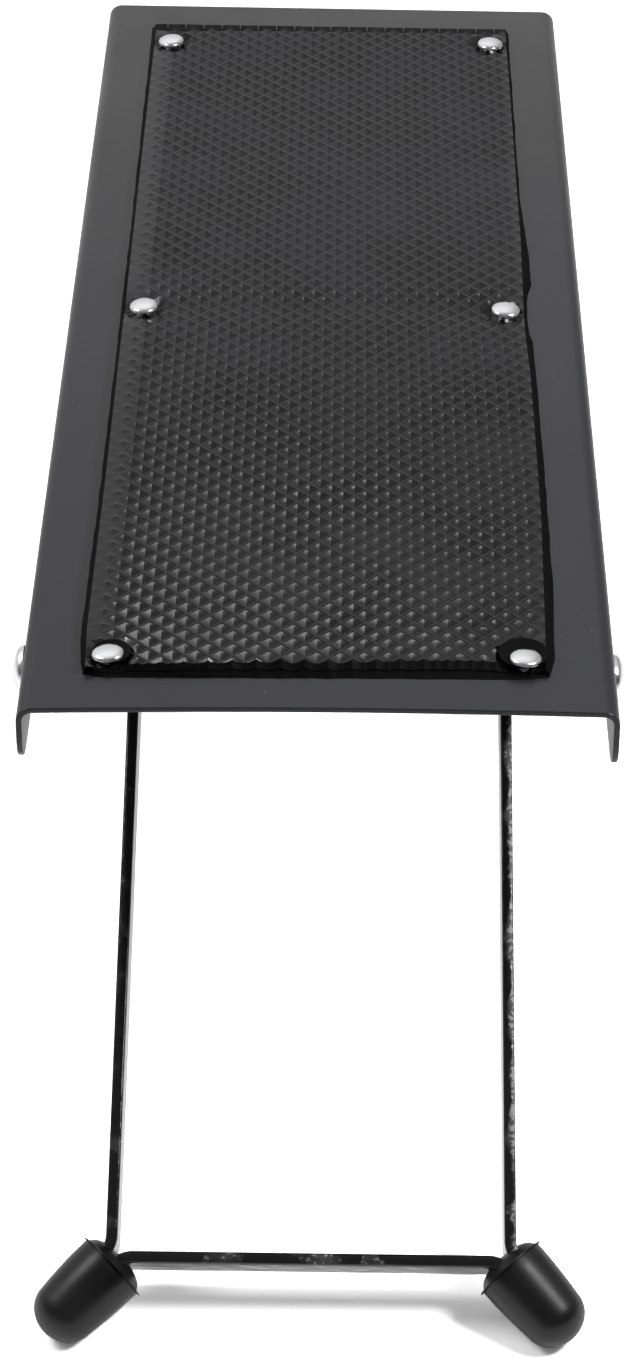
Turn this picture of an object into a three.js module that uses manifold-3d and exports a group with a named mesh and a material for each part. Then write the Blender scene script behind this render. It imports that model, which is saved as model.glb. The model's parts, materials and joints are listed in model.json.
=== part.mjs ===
// Folding footrest for a seated guitarist. A flanged steel plate with a riveted rubber tread
// stands on two U-shaped strap legs that cross like scissors. The outer leg hinges on the
// plate's flanges. The inner leg hangs from a rod that runs in two notched rails.
// Millimetres. +X is the right side, +Y the far end, +Z up, and the feet stand on z = 0.

import * as THREE from 'three';
import { mergeVertices } from 'three/addons/utils/BufferGeometryUtils.js';
import Module from 'manifold-3d';

const wasm = await Module();
wasm.setup();

// Plate: one sheet with its long sides bent down
const plateLength = 290;
const plateWidth = 110;
const sheetThickness = 1;
const flangeDepth = 13.5;
const plateBendRadius = 3;
const flangeCornerRadius = 5;

// Rubber tread on the plate
const treadSideMargin = 11.6;
const treadNearMargin = 10.5;
const treadFarMargin = 16.5;
const treadThickness = 3;
const treadCornerRadius = 1.5;

// Flat-topped pyramids of the tread. Each stands for a dozen of the real ones.
const pyramidPitch = 11;
const pyramidHeight = 1;
const pyramidTopWidth = 4.5;
const pyramidGroove = 0.6;

// Rivets through the tread, two across and three along
const treadRivetFromSide = 4.8;
const treadRivetFromNearEnd = 3.7;
const treadRivetFromFarEnd = 7;
const treadRivetHeadDiameter = 6.2;
const treadRivetHeadHeight = 1.6;
const treadRivetShankDiameter = 4;
const treadRivetTailDiameter = 5.4;
const treadRivetTailHeight = 0.6;
const treadRivetSink = 1;

// Strap steel of both legs
const strapWidth = 11.5;
const strapThickness = 2.3;
const strapBendRadius = 5.5;
const earLength = 9;
const earGap = 0.5;

// Stance: where the outer leg hinges, and how the legs cross
const hingeFromNearEnd = 23.5;
const hingeDepth = 8;
const rodDepth = 10;
const legAngle = THREE.MathUtils.degToRad(36);
const outerLegAboveCross = 119.9;
const legBelowCross = 132;

// How far the inner leg's straps lie inside the outer leg's, middle to middle
const legSpacingAtRod = 11;
const legSpacingAtCorner = 9.1;

// Rivets that the legs turn on
const pivotShankDiameter = 4.4;
const hingeHeadDiameter = 7.8;
const hingeHeadHeight = 1.6;
const hingeTailDiameter = 7;
const hingeTailHeight = 1.2;
const hingeWasherDiameter = 7.6;
const hingeWasherThickness = 1.6;
const crossHeadDiameter = 7.5;
const crossHeadHeight = 1.3;
const crossTailDiameter = 7;
const crossTailHeight = 1.2;
const crossSleeveDiameter = 8;

// Height rod and the notched rails that it runs in
const rodDiameter = 6;
const rodHeadDiameter = 7;
const rodHeadHeight = 1;
const railSheet = 1.5;
const railToRivetTail = 2.5;
const railFootWidth = 12;
const railEndMargin = 5;
const railLipHeight = 2.2;
const notchCount = 4;
const notchPitch = 12;
const notchRise = 3;
const foldedAngle = THREE.MathUtils.degToRad(4);

// Rubber feet, pushed over the folded ears of the straps
const footMouthRadius = 8.2;
const footShoulderRadius = 7;
const footMouthBulge = 3;
const footTaperLength = 13.4;
const footTipLength = 6.2;
const footMouthFromCorner = 0.8;

// Fits
const looseGap = 0.3;
const turningGap = 0.2;
const pressedGap = 0.1;

// Facets and overruns
const cutOverrun = 1;
const roundSegments = 24;
const footSegments = 28;
const arcSteps = 5;
const quarterTurn = Math.PI / 2;
const halfTurn = Math.PI;
const fullTurn = 2 * Math.PI;
const diagonal = Math.PI / 4;

// Places worked out from the sizes above. Depths are below the plate's top face.
const plateHalfLength = plateLength / 2;
const flangeInnerX = plateWidth / 2 - sheetThickness;
const treadWidth = plateWidth - 2 * treadSideMargin;
const treadLength = plateLength - treadNearMargin - treadFarMargin;
const treadShift = (treadNearMargin - treadFarMargin) / 2;
const treadRivetGauge = treadWidth - 2 * treadRivetFromSide;
const treadRivetPitch = (treadLength - treadRivetFromNearEnd - treadRivetFromFarEnd) / 2;
const treadRivetShift = treadShift + (treadRivetFromNearEnd - treadRivetFromFarEnd) / 2;
const railOuterHalfWidth = (treadRivetGauge - treadRivetTailDiameter) / 2 - railToRivetTail;
const hingeY = hingeFromNearEnd - plateHalfLength;
const innerLegAboveCross = outerLegAboveCross - (rodDepth - hingeDepth) / Math.sin(legAngle);
const rodY = hingeY + (outerLegAboveCross + innerLegAboveCross) * Math.cos(legAngle);
const crossFoldedDrop = outerLegAboveCross * Math.sin(foldedAngle) - (rodDepth - hingeDepth);
const innerFoldedAngle = Math.asin(crossFoldedDrop / innerLegAboveCross);
const rodFoldedY = hingeY + outerLegAboveCross * Math.cos(foldedAngle)
  + innerLegAboveCross * Math.cos(innerFoldedAngle);
const outerStrapX = flangeInnerX - hingeWasherThickness - turningGap - strapThickness / 2;
const outerStrapOutside = outerStrapX + strapThickness / 2;
const outerStrapInside = outerStrapX - strapThickness / 2;
const innerHalfWidthAtRod = outerStrapX - legSpacingAtRod;
const innerHalfWidthAtCorner = outerStrapX - legSpacingAtCorner;
const pivotHoleRadius = pivotShankDiameter / 2 + looseGap;
const runnerRadius = rodDiameter / 2 + looseGap;
const earOffset = (strapThickness + earGap) / 2;

const plateSteel = new THREE.MeshStandardMaterial({ color: 0x3c3d40, roughness: 0.5, metalness: 0.1 });
const strapSteel = new THREE.MeshStandardMaterial({ color: 0x18191b, roughness: 0.25, metalness: 0.1 });
const treadRubber = new THREE.MeshStandardMaterial({ color: 0x26272a, roughness: 0.6, metalness: 0 });
const footRubber = new THREE.MeshStandardMaterial({ color: 0x1d1e20, roughness: 0.5, metalness: 0 });
const brightRivet = new THREE.MeshStandardMaterial({ color: 0xd9dadc, roughness: 0.3, metalness: 0.9 });
const zincSteel = new THREE.MeshStandardMaterial({ color: 0xa9abaf, roughness: 0.4, metalness: 0.8 });

// Turns a closed geometry into a solid that can be cut.
function solid(geometry) {
  const bare = geometry.clone();
  bare.deleteAttribute('normal');
  bare.deleteAttribute('uv');
  const merged = mergeVertices(bare);
  const index = merged.index.array;
  const triangles = [];
  for (let i = 0; i < index.length; i += 3) {
    const [a, b, c] = [index[i], index[i + 1], index[i + 2]];
    if (a !== b && b !== c && c !== a) triangles.push(a, b, c);
  }
  return new wasm.Manifold(new wasm.Mesh({
    numProp: 3,
    vertProperties: new Float32Array(merged.attributes.position.array),
    triVerts: new Uint32Array(triangles),
  }));
}

// Turns a solid back into a geometry.
function geometryOf(body) {
  const mesh = body.getMesh();
  const geometry = new THREE.BufferGeometry();
  geometry.setAttribute('position', new THREE.BufferAttribute(mesh.vertProperties, 3));
  geometry.setIndex(new THREE.BufferAttribute(mesh.triVerts, 1));
  geometry.computeVertexNormals();
  return geometry;
}

// Adds one named piece to a group.
function addPiece(group, name, body, material) {
  const mesh = new THREE.Mesh(geometryOf(body), material.clone());
  mesh.name = name;
  group.add(mesh);
}

// A shape drawn in the XY plane, given a thickness along Z about that plane.
function slab(shape, thickness) {
  const geometry = new THREE.ExtrudeGeometry(shape, {
    depth: thickness,
    bevelEnabled: false,
    curveSegments: arcSteps,
  });
  geometry.translate(0, 0, -thickness / 2);
  return geometry;
}

// A shape drawn with Y and Z as its two axes, running from one X to another.
function acrossX(shape, fromX, toX) {
  const geometry = slab(shape, toX - fromX);
  geometry.applyMatrix4(new THREE.Matrix4().makeBasis(
    new THREE.Vector3(0, 1, 0),
    new THREE.Vector3(0, 0, 1),
    new THREE.Vector3(1, 0, 0),
  ));
  geometry.translate((fromX + toX) / 2, 0, 0);
  return geometry;
}

// A plain round hole or shank along X.
function roundAcross(radius, fromX, toX, y, z) {
  const geometry = new THREE.CylinderGeometry(radius, radius, toX - fromX, roundSegments);
  geometry.rotateZ(quarterTurn);
  geometry.translate((fromX + toX) / 2, y, z);
  return solid(geometry);
}

// A plain round hole or shank along Z.
function roundUpright(radius, fromZ, toZ, x, y) {
  const geometry = new THREE.CylinderGeometry(radius, radius, toZ - fromZ, roundSegments);
  geometry.rotateX(quarterTurn);
  geometry.translate(x, y, (fromZ + toZ) / 2);
  return solid(geometry);
}

// Points of a rivet's profile: a flat-ended shank, its spread tail, and a domed head at the top.
// Each point is radius and height, with the head's underside at height 0.
function rivetProfile(shankRadius, shankLength, tailRadius, tailHeight, headRadius, headHeight) {
  const points = [
    new THREE.Vector2(0, -shankLength - tailHeight),
    new THREE.Vector2(tailRadius, -shankLength - tailHeight),
    new THREE.Vector2(tailRadius, -shankLength),
    new THREE.Vector2(shankRadius, -shankLength),
    new THREE.Vector2(shankRadius, 0),
    new THREE.Vector2(headRadius, 0),
  ];
  for (let i = 1; i < arcSteps; i += 1) {
    const turn = quarterTurn * i / arcSteps;
    points.push(new THREE.Vector2(headRadius * Math.cos(turn), headHeight * Math.sin(turn)));
  }
  points.push(new THREE.Vector2(0, headHeight));
  return points;
}

// A rivet whose head faces +Z before it is placed.
function rivet(...sizes) {
  const geometry = new THREE.LatheGeometry(rivetProfile(...sizes), roundSegments);
  geometry.rotateX(quarterTurn);
  return geometry;
}

// A long round-ended cutter across X, between two points of the YZ plane.
function runner(radius, fromX, toX, from, to) {
  const along = Math.atan2(to.y - from.y, to.x - from.x);
  const shape = new THREE.Shape();
  shape.absarc(to.x, to.y, radius, along - quarterTurn, along + quarterTurn, false);
  shape.absarc(from.x, from.y, radius, along + quarterTurn, along + quarterTurn + halfTurn, false);
  shape.closePath();
  return solid(acrossX(shape, fromX, toX));
}

// Where the line from p along d meets the line from q along e.
function meeting(p, d, q, e) {
  const gap = q.clone().sub(p);
  return p.clone().addScaledVector(d, gap.cross(e) / d.cross(e));
}

// One side of a bent strip: the corners of its middle line moved sideways, each rounded.
function stripSide(corners, radii, offset) {
  const headings = corners.slice(1).map((corner, i) => corner.clone().sub(corners[i]).normalize());
  const sideways = (heading) => new THREE.Vector2(-heading.y, heading.x).multiplyScalar(offset);
  const points = [corners[0].clone().add(sideways(headings[0]))];
  for (let i = 1; i < corners.length - 1; i += 1) {
    const [into, out] = [headings[i - 1], headings[i]];
    const turn = Math.atan2(into.cross(out), into.dot(out));
    const vertex = meeting(
      corners[i].clone().add(sideways(into)), into, corners[i].clone().add(sideways(out)), out,
    );
    const radius = radii[i - 1] - Math.sign(turn) * offset;
    const start = vertex.clone().addScaledVector(into, -radius * Math.tan(Math.abs(turn) / 2));
    const side = Math.sign(turn) * radius;
    const centre = start.clone().add(new THREE.Vector2(-into.y, into.x).multiplyScalar(side));
    for (let step = 0; step <= arcSteps; step += 1) {
      points.push(start.clone().rotateAround(centre, turn * step / arcSteps));
    }
  }
  points.push(corners.at(-1).clone().add(sideways(headings.at(-1))));
  return points;
}

// The outline of a bent strip of even thickness.
function strip(corners, radii, thickness) {
  const left = stripSide(corners, radii, thickness / 2);
  const right = stripSide(corners, radii, -thickness / 2);
  return new THREE.Shape([...right, ...left.reverse()]);
}

// The middle line of a strap on the right side: down the leg, into the foot and back, to the
// crossbar. The ear's two layers lie side by side on the diagonal of the corner.
function cornerLine(topX, cornerX, length) {
  const top = new THREE.Vector2(topX, strapWidth);
  const corner = new THREE.Vector2(cornerX, -length);
  const legWay = corner.clone().sub(new THREE.Vector2(topX, 0)).normalize();
  const inward = new THREE.Vector2(-1, 0);
  const ear = new THREE.Vector2(Math.cos(diagonal), -Math.sin(diagonal));
  const up = new THREE.Vector2(Math.sin(diagonal), Math.cos(diagonal));
  const tip = corner.clone().addScaledVector(ear, earLength);
  const upper = tip.clone().addScaledVector(up, earOffset);
  const lower = tip.clone().addScaledVector(up, -earOffset);
  return {
    corner,
    ear,
    points: [top, meeting(corner, legWay, upper, ear), upper, lower, meeting(lower, ear, corner, inward)],
    radii: [strapBendRadius, earOffset, earOffset, strapBendRadius],
  };
}

// A whole U-shaped strap leg, its top pivot at the origin and its crossbar down along -Y.
function strapLeg(topX, cornerX, length, crossFromTop) {
  const line = cornerLine(topX, cornerX, length);
  const mirrored = line.points.map((point) => new THREE.Vector2(-point.x, point.y)).reverse();
  const bent = slab(strip([...line.points, ...mirrored],
    [...line.radii, ...line.radii.slice().reverse()], strapThickness), strapWidth);
  const side = new THREE.Shape();
  const reach = length + earLength + strapWidth;
  side.moveTo(-reach, -strapWidth);
  side.lineTo(-strapWidth, -strapWidth);
  side.lineTo(-strapWidth, -strapWidth / 2);
  side.absarc(0, 0, strapWidth / 2, -quarterTurn, quarterTurn, false);
  side.lineTo(-strapWidth, strapWidth / 2);
  side.lineTo(-strapWidth, strapWidth);
  side.lineTo(-reach, strapWidth);
  side.closePath();
  const span = cornerX + earLength + strapWidth;
  return solid(bent)
    .intersect(solid(acrossX(side, -span, span)))
    .subtract(roundAcross(pivotHoleRadius, -span, span, 0, 0))
    .subtract(roundAcross(pivotHoleRadius, -span, span, -crossFromTop, 0));
}

// A rubber foot on the strap's right ear: a tapered cap with a bulging mouth and a domed tip.
function strapFoot(topX, cornerX, length) {
  const line = cornerLine(topX, cornerX, length);
  const shoulder = footMouthFromCorner + footTaperLength;
  const points = [];
  for (let i = 0; i <= arcSteps; i += 1) {
    const turn = quarterTurn * i / arcSteps;
    points.push(new THREE.Vector2(
      i === 0 ? 0 : footMouthRadius * Math.sin(turn),
      footMouthFromCorner - footMouthBulge * Math.cos(turn),
    ));
  }
  for (let i = 0; i <= arcSteps; i += 1) {
    const turn = quarterTurn * i / arcSteps;
    points.push(new THREE.Vector2(
      i === arcSteps ? 0 : footShoulderRadius * Math.cos(turn),
      shoulder + footTipLength * Math.sin(turn),
    ));
  }
  const cap = new THREE.LatheGeometry(points, footSegments);
  cap.rotateZ(-quarterTurn - diagonal);
  cap.translate(line.corner.x, line.corner.y, 0);

  const boreWidth = strapWidth + 2 * looseGap;
  const strapRoom = strapThickness + 2 * looseGap;
  const mouth = line.corner.clone().addScaledVector(line.ear, -footMouthRadius);
  const end = line.corner.clone().addScaledVector(line.ear, earLength + strapThickness / 2 + looseGap);
  const [top, legBend, upper, lower, barBend] = line.points;
  const middle = new THREE.Vector2(0, barBend.y);
  return solid(cap)
    .subtract(solid(slab(strip([mouth, end], [], 2 * earOffset + strapRoom), boreWidth)))
    .subtract(solid(slab(strip([top, legBend, upper], [strapBendRadius], strapRoom), boreWidth)))
    .subtract(solid(slab(strip([lower, barBend, middle], [strapBendRadius], strapRoom), boreWidth)));
}

// Mirrors a solid's geometry to the left side and keeps its faces pointing out.
function mirrored(geometry) {
  const copy = geometry.clone();
  copy.scale(-1, 1, 1);
  const index = copy.index.array;
  for (let i = 0; i < index.length; i += 3) [index[i], index[i + 1]] = [index[i + 1], index[i]];
  copy.computeVertexNormals();
  return copy;
}

// Adds a piece on the right side and its mirror image on the left side.
function addPair(group, name, body, material) {
  const geometry = geometryOf(body);
  for (const [side, shape] of [['right', geometry], ['left', mirrored(geometry)]]) {
    const mesh = new THREE.Mesh(shape, material.clone());
    mesh.name = `${name}_${side}`;
    group.add(mesh);
  }
}

// The places of the tread rivets, from the near end to the far end.
function treadRivetPlaces() {
  const places = [];
  for (const [row, along] of [['near', -1], ['mid', 0], ['far', 1]]) {
    for (const [side, across] of [['left', -1], ['right', 1]]) {
      places.push({
        name: `tread_rivet_${row}_${side}`,
        x: across * treadRivetGauge / 2,
        y: treadRivetShift + along * treadRivetPitch,
      });
    }
  }
  return places;
}

// The plate: a channel of bent sheet with rounded flange corners and drilled rivet holes.
function plateBody() {
  const halfWidth = plateWidth / 2;
  const innerBend = plateBendRadius - sheetThickness;
  const section = new THREE.Shape();
  section.moveTo(halfWidth, -flangeDepth);
  section.absarc(halfWidth - plateBendRadius, -plateBendRadius, plateBendRadius, 0, quarterTurn, false);
  section.absarc(plateBendRadius - halfWidth, -plateBendRadius, plateBendRadius, quarterTurn, halfTurn, false);
  section.lineTo(-halfWidth, -flangeDepth);
  section.lineTo(-flangeInnerX, -flangeDepth);
  section.absarc(plateBendRadius - halfWidth, -plateBendRadius, innerBend, halfTurn, quarterTurn, true);
  section.absarc(halfWidth - plateBendRadius, -plateBendRadius, innerBend, quarterTurn, 0, true);
  section.lineTo(flangeInnerX, -flangeDepth);
  section.closePath();
  const channel = slab(section, plateLength);
  channel.rotateX(quarterTurn);

  const outline = new THREE.Shape();
  const corner = plateHalfLength - flangeCornerRadius;
  const cornerZ = flangeCornerRadius - flangeDepth;
  outline.moveTo(plateHalfLength, cutOverrun);
  outline.lineTo(-plateHalfLength, cutOverrun);
  outline.absarc(-corner, cornerZ, flangeCornerRadius, halfTurn, halfTurn + quarterTurn, false);
  outline.absarc(corner, cornerZ, flangeCornerRadius, halfTurn + quarterTurn, fullTurn, false);
  outline.closePath();

  const beyond = halfWidth + cutOverrun;
  let body = solid(channel).intersect(solid(acrossX(outline, -beyond, beyond)));
  body = body.subtract(roundAcross(pivotHoleRadius, -beyond, beyond, hingeY, -hingeDepth));
  const holeRadius = treadRivetShankDiameter / 2 + looseGap;
  for (const { x, y } of treadRivetPlaces()) {
    body = body.subtract(roundUpright(holeRadius, -flangeDepth, cutOverrun, x, y));
  }
  return body;
}

// The tread's pyramids, in a lattice turned by an eighth of a turn, rising from its base.
function pyramidField() {
  const footWidth = pyramidPitch - pyramidGroove;
  const slope = (footWidth - pyramidTopWidth) / pyramidHeight;
  const sunkWidth = footWidth + slope * pressedGap;
  const base = treadThickness - pyramidHeight;
  const pyramid = new THREE.CylinderGeometry(pyramidTopWidth / Math.SQRT2, sunkWidth / Math.SQRT2,
    pyramidHeight + pressedGap, 4);
  pyramid.rotateX(quarterTurn);
  pyramid.translate(0, treadShift, base + (pyramidHeight - pressedGap) / 2);
  const step = pyramidPitch / Math.SQRT2;
  const rows = Math.ceil((treadWidth + treadLength) / pyramidPitch);
  const field = [];
  for (let i = -rows; i <= rows; i += 1) {
    for (let j = -rows; j <= rows; j += 1) {
      const [x, y] = [(i - j) * step, (i + j) * step];
      if (Math.abs(x) < treadWidth / 2 + step && Math.abs(y) < treadLength / 2 + step) {
        field.push(solid(pyramid).translate([x, y, 0]));
      }
    }
  }
  return wasm.Manifold.union(field);
}

// The rubber tread, with the places where the rivet heads press into it.
function treadBody() {
  const [halfWidth, halfLength] = [treadWidth / 2, treadLength / 2];
  const [x, y, r] = [halfWidth - treadCornerRadius, halfLength - treadCornerRadius, treadCornerRadius];
  const outline = new THREE.Shape();
  outline.absarc(x, y, r, 0, quarterTurn, false);
  outline.absarc(-x, y, r, quarterTurn, halfTurn, false);
  outline.absarc(-x, -y, r, halfTurn, halfTurn + quarterTurn, false);
  outline.absarc(x, -y, r, halfTurn + quarterTurn, fullTurn, false);
  outline.closePath();
  const block = slab(outline, treadThickness);
  block.translate(0, treadShift, treadThickness / 2);
  const base = slab(outline, treadThickness - pyramidHeight);
  base.translate(0, treadShift, (treadThickness - pyramidHeight) / 2);
  let body = solid(block).intersect(pyramidField()).add(solid(base));
  const above = treadThickness + cutOverrun;
  for (const place of treadRivetPlaces()) {
    body = body
      .subtract(roundUpright(treadRivetShankDiameter / 2 + looseGap, -cutOverrun, above, place.x, place.y))
      .subtract(roundUpright(treadRivetHeadDiameter / 2 + pressedGap,
        treadThickness - treadRivetSink, above, place.x, place.y));
  }
  return body;
}

// A tread rivet at its place, from its domed head down to its tail under the sheet.
function treadRivet(x, y) {
  const seat = treadThickness - treadRivetSink;
  const geometry = rivet(treadRivetShankDiameter / 2, seat + sheetThickness,
    treadRivetTailDiameter / 2, treadRivetTailHeight, treadRivetHeadDiameter / 2, treadRivetHeadHeight);
  geometry.translate(x, y, seat);
  return solid(geometry);
}

// A rivet along X on the right side, its head's underside at headX and its tail towards the middle.
function pivotRivet(headX, tailX, y, z, head, tail) {
  const geometry = rivet(pivotShankDiameter / 2, headX - tailX, tail.diameter / 2, tail.height,
    head.diameter / 2, head.height);
  geometry.rotateY(quarterTurn);
  geometry.translate(headX, y, z);
  return solid(geometry);
}

// A washer or sleeve along X round a pivot.
function sleeve(radius, fromX, toX, y, z) {
  return roundAcross(radius, fromX, toX, y, z)
    .subtract(roundAcross(pivotHoleRadius, fromX - cutOverrun, toX + cutOverrun, y, z));
}

// A notched rail on the right side: an angle of sheet with the rod's slot in its upright.
function railBody() {
  const innerX = railOuterHalfWidth - railSheet;
  const nearY = rodY - runnerRadius - railEndMargin;
  const farY = rodFoldedY + runnerRadius + railEndMargin;
  const bottomZ = -rodDepth - runnerRadius - railLipHeight;
  const upright = new THREE.Shape();
  upright.moveTo(nearY, -sheetThickness);
  upright.lineTo(nearY, bottomZ + railEndMargin);
  upright.lineTo(nearY + railEndMargin, bottomZ);
  upright.lineTo(farY - railEndMargin, bottomZ);
  upright.lineTo(farY, bottomZ + railEndMargin);
  upright.lineTo(farY, -sheetThickness);
  upright.closePath();
  const foot = new THREE.Shape();
  foot.moveTo(nearY, -sheetThickness);
  foot.lineTo(nearY, -sheetThickness - railSheet);
  foot.lineTo(farY, -sheetThickness - railSheet);
  foot.lineTo(farY, -sheetThickness);
  foot.closePath();
  const [cutFrom, cutTo] = [innerX - cutOverrun, railOuterHalfWidth + cutOverrun];
  let body = solid(acrossX(upright, innerX, railOuterHalfWidth))
    .add(solid(acrossX(foot, innerX - railFootWidth, railOuterHalfWidth)))
    .subtract(runner(runnerRadius, cutFrom, cutTo,
      new THREE.Vector2(rodY, -rodDepth), new THREE.Vector2(rodFoldedY, -rodDepth)));
  for (let i = 0; i < notchCount; i += 1) {
    const y = rodY + i * notchPitch;
    body = body.subtract(runner(runnerRadius, cutFrom, cutTo,
      new THREE.Vector2(y, -rodDepth), new THREE.Vector2(y, -rodDepth + notchRise)));
  }
  return body;
}

// The height rod: a round bar with a turned-down pin at each end, headed over outside the strap.
function rodBody() {
  const strapInside = innerHalfWidthAtRod - strapThickness / 2 - looseGap;
  const strapOutside = innerHalfWidthAtRod + strapThickness / 2 + looseGap;
  const end = strapOutside + rodHeadHeight;
  return roundAcross(rodDiameter / 2, -strapInside, strapInside, 0, 0)
    .add(roundAcross(pivotShankDiameter / 2, -end, end, 0, 0))
    .add(roundAcross(rodHeadDiameter / 2, strapOutside, end, 0, 0))
    .add(roundAcross(rodHeadDiameter / 2, -end, -strapOutside, 0, 0));
}

// The plate and everything fixed to it
const plate = new THREE.Group();
addPiece(plate, 'foot_plate', plateBody(), plateSteel);
addPiece(plate, 'rubber_tread', treadBody(), treadRubber);
for (const { name, x, y } of treadRivetPlaces()) addPiece(plate, name, treadRivet(x, y), brightRivet);
addPair(plate, 'hinge_rivet', pivotRivet(plateWidth / 2, outerStrapInside - turningGap, hingeY, -hingeDepth,
  { diameter: hingeHeadDiameter, height: hingeHeadHeight },
  { diameter: hingeTailDiameter, height: hingeTailHeight }), brightRivet);
addPair(plate, 'hinge_washer', sleeve(hingeWasherDiameter / 2,
  flangeInnerX - hingeWasherThickness, flangeInnerX, hingeY, -hingeDepth), zincSteel);
addPair(plate, 'notched_rail', railBody(), plateSteel);

// The outer leg, hinged on the flanges
const outerLegLength = outerLegAboveCross + legBelowCross;
const outerLeg = new THREE.Group();
outerLeg.position.set(0, hingeY, -hingeDepth);
outerLeg.rotation.x = halfTurn - legAngle;
addPiece(outerLeg, 'outer_leg', strapLeg(outerStrapX, outerStrapX, outerLegLength, outerLegAboveCross), strapSteel);
addPair(outerLeg, 'outer_foot', strapFoot(outerStrapX, outerStrapX, outerLegLength), footRubber);

// The rivets and sleeves where the legs cross, carried by the outer leg
const crossShare = innerLegAboveCross / (innerLegAboveCross + legBelowCross);
const innerXAtCross = THREE.MathUtils.lerp(innerHalfWidthAtRod, innerHalfWidthAtCorner, crossShare);
addPair(outerLeg, 'cross_rivet', pivotRivet(outerStrapOutside,
  innerXAtCross - strapThickness / 2 - looseGap, -outerLegAboveCross, 0,
  { diameter: crossHeadDiameter, height: crossHeadHeight },
  { diameter: crossTailDiameter, height: crossTailHeight }), brightRivet);
addPair(outerLeg, 'cross_sleeve', sleeve(crossSleeveDiameter / 2,
  innerXAtCross + strapThickness / 2 + looseGap, outerStrapInside, -outerLegAboveCross, 0), zincSteel);

// The inner leg, hung from the height rod
const innerLegLength = innerLegAboveCross + legBelowCross;
const innerLeg = new THREE.Group();
innerLeg.position.set(0, rodY, -rodDepth);
innerLeg.rotation.x = legAngle;
addPiece(innerLeg, 'inner_leg', strapLeg(innerHalfWidthAtRod, innerHalfWidthAtCorner,
  innerLegLength, innerLegAboveCross), strapSteel);
addPair(innerLeg, 'inner_foot', strapFoot(innerHalfWidthAtRod, innerHalfWidthAtCorner, innerLegLength), footRubber);
addPiece(innerLeg, 'height_rod', rodBody(), zincSteel);

// The whole footrest, standing on its feet with the middle of its length at the origin
const footrest = new THREE.Group();
footrest.add(plate, outerLeg, innerLeg);
footrest.updateMatrixWorld(true);
const extent = new THREE.Box3().setFromObject(footrest, true);
footrest.position.set(0, -(extent.min.y + extent.max.y) / 2, -extent.min.z);
footrest.updateMatrixWorld(true);

export default footrest;
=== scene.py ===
"""Folding footrest for a seated guitarist, with its materials, its floor and its light.

Metres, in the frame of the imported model: +X is the right side, +Y the far end, +Z up, and
the feet stand on z = 0.
"""

import json
import logging
import math
from collections.abc import Callable, Iterator, Sequence
from contextlib import contextmanager
from dataclasses import dataclass, field
from enum import Enum
from functools import cache

import bmesh
import bpy
from mathutils import Matrix, Vector, noise


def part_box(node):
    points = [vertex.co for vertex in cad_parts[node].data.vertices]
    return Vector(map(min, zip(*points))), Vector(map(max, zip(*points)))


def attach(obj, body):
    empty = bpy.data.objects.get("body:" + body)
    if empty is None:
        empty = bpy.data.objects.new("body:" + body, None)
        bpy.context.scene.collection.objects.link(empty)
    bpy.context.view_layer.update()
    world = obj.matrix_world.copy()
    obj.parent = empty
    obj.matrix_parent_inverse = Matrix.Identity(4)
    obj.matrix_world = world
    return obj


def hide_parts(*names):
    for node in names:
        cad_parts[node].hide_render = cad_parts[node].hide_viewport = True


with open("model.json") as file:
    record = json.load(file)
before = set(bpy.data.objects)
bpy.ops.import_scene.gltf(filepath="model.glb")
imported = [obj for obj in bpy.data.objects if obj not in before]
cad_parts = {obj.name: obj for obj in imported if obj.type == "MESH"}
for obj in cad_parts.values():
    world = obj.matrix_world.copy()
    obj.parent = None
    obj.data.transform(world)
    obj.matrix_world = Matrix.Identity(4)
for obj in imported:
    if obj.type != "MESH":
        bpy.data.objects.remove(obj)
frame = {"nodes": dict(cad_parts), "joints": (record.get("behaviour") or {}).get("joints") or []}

MM = 0.001
SAME_PLACE = 0.001 * MM
LOOSE_JOINT = 0.005 * MM
SHARP_ANGLE = 35
FLAT_ANGLE = 1
IMAGE_HEIGHT = 1366

log = logging.getLogger("footrest")


def linear(colour: str) -> tuple[float, float, float, float]:
    """Turns an sRGB hex colour into the linear colour that shaders take.

    Args:
        colour: A colour such as "#26272a".

    Returns:
        Red, green, blue and an alpha of 1.
    """
    channels = [int(colour[i:i + 2], 16) / 255 for i in (1, 3, 5)]
    curved = [c / 12.92 if c <= 0.04045 else ((c + 0.055) / 1.055) ** 2.4 for c in channels]
    return curved[0], curved[1], curved[2], 1.0


def grey(level: float) -> tuple[float, float, float, float]:
    """Makes a grey whose level can pass 1, as bright paper needs."""
    return level, level, level, 1.0


def connect(
    tree: bpy.types.NodeTree, node: bpy.types.Node, inputs: dict[str | int, object],
) -> None:
    """Gives a node's inputs their values and links.

    Args:
        tree: The node tree that holds it.
        node: The node.
        inputs: Values or output sockets for its inputs, by name or number.
    """
    for name, value in inputs.items():
        if isinstance(value, bpy.types.NodeSocket):
            tree.links.new(value, node.inputs[name])
        else:
            node.inputs[name].default_value = value


def add_node(
    tree: bpy.types.NodeTree,
    kind: str,
    settings: dict[str, object] | None = None,
    inputs: dict[str | int, object] | None = None,
) -> bpy.types.Node:
    """Adds a node with its settings, its values and its links.

    Args:
        tree: The node tree that gets it.
        kind: The node's type.
        settings: Properties of the node.
        inputs: Values or output sockets for its inputs, by name or number.

    Returns:
        The new node.
    """
    node = tree.nodes.new(kind)
    for name, value in (settings or {}).items():
        setattr(node, name, value)
    connect(tree, node, inputs or {})
    return node


class Slot(Enum):
    """The material slots of the record."""

    PLATE_PAINT = "plate_paint"
    STRAP_PAINT = "strap_paint"
    TREAD_RUBBER = "tread_rubber"
    FOOT_RUBBER = "foot_rubber"
    RIVET_BRIGHT = "rivet_bright"
    ZINC_STEEL = "zinc_steel"


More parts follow.
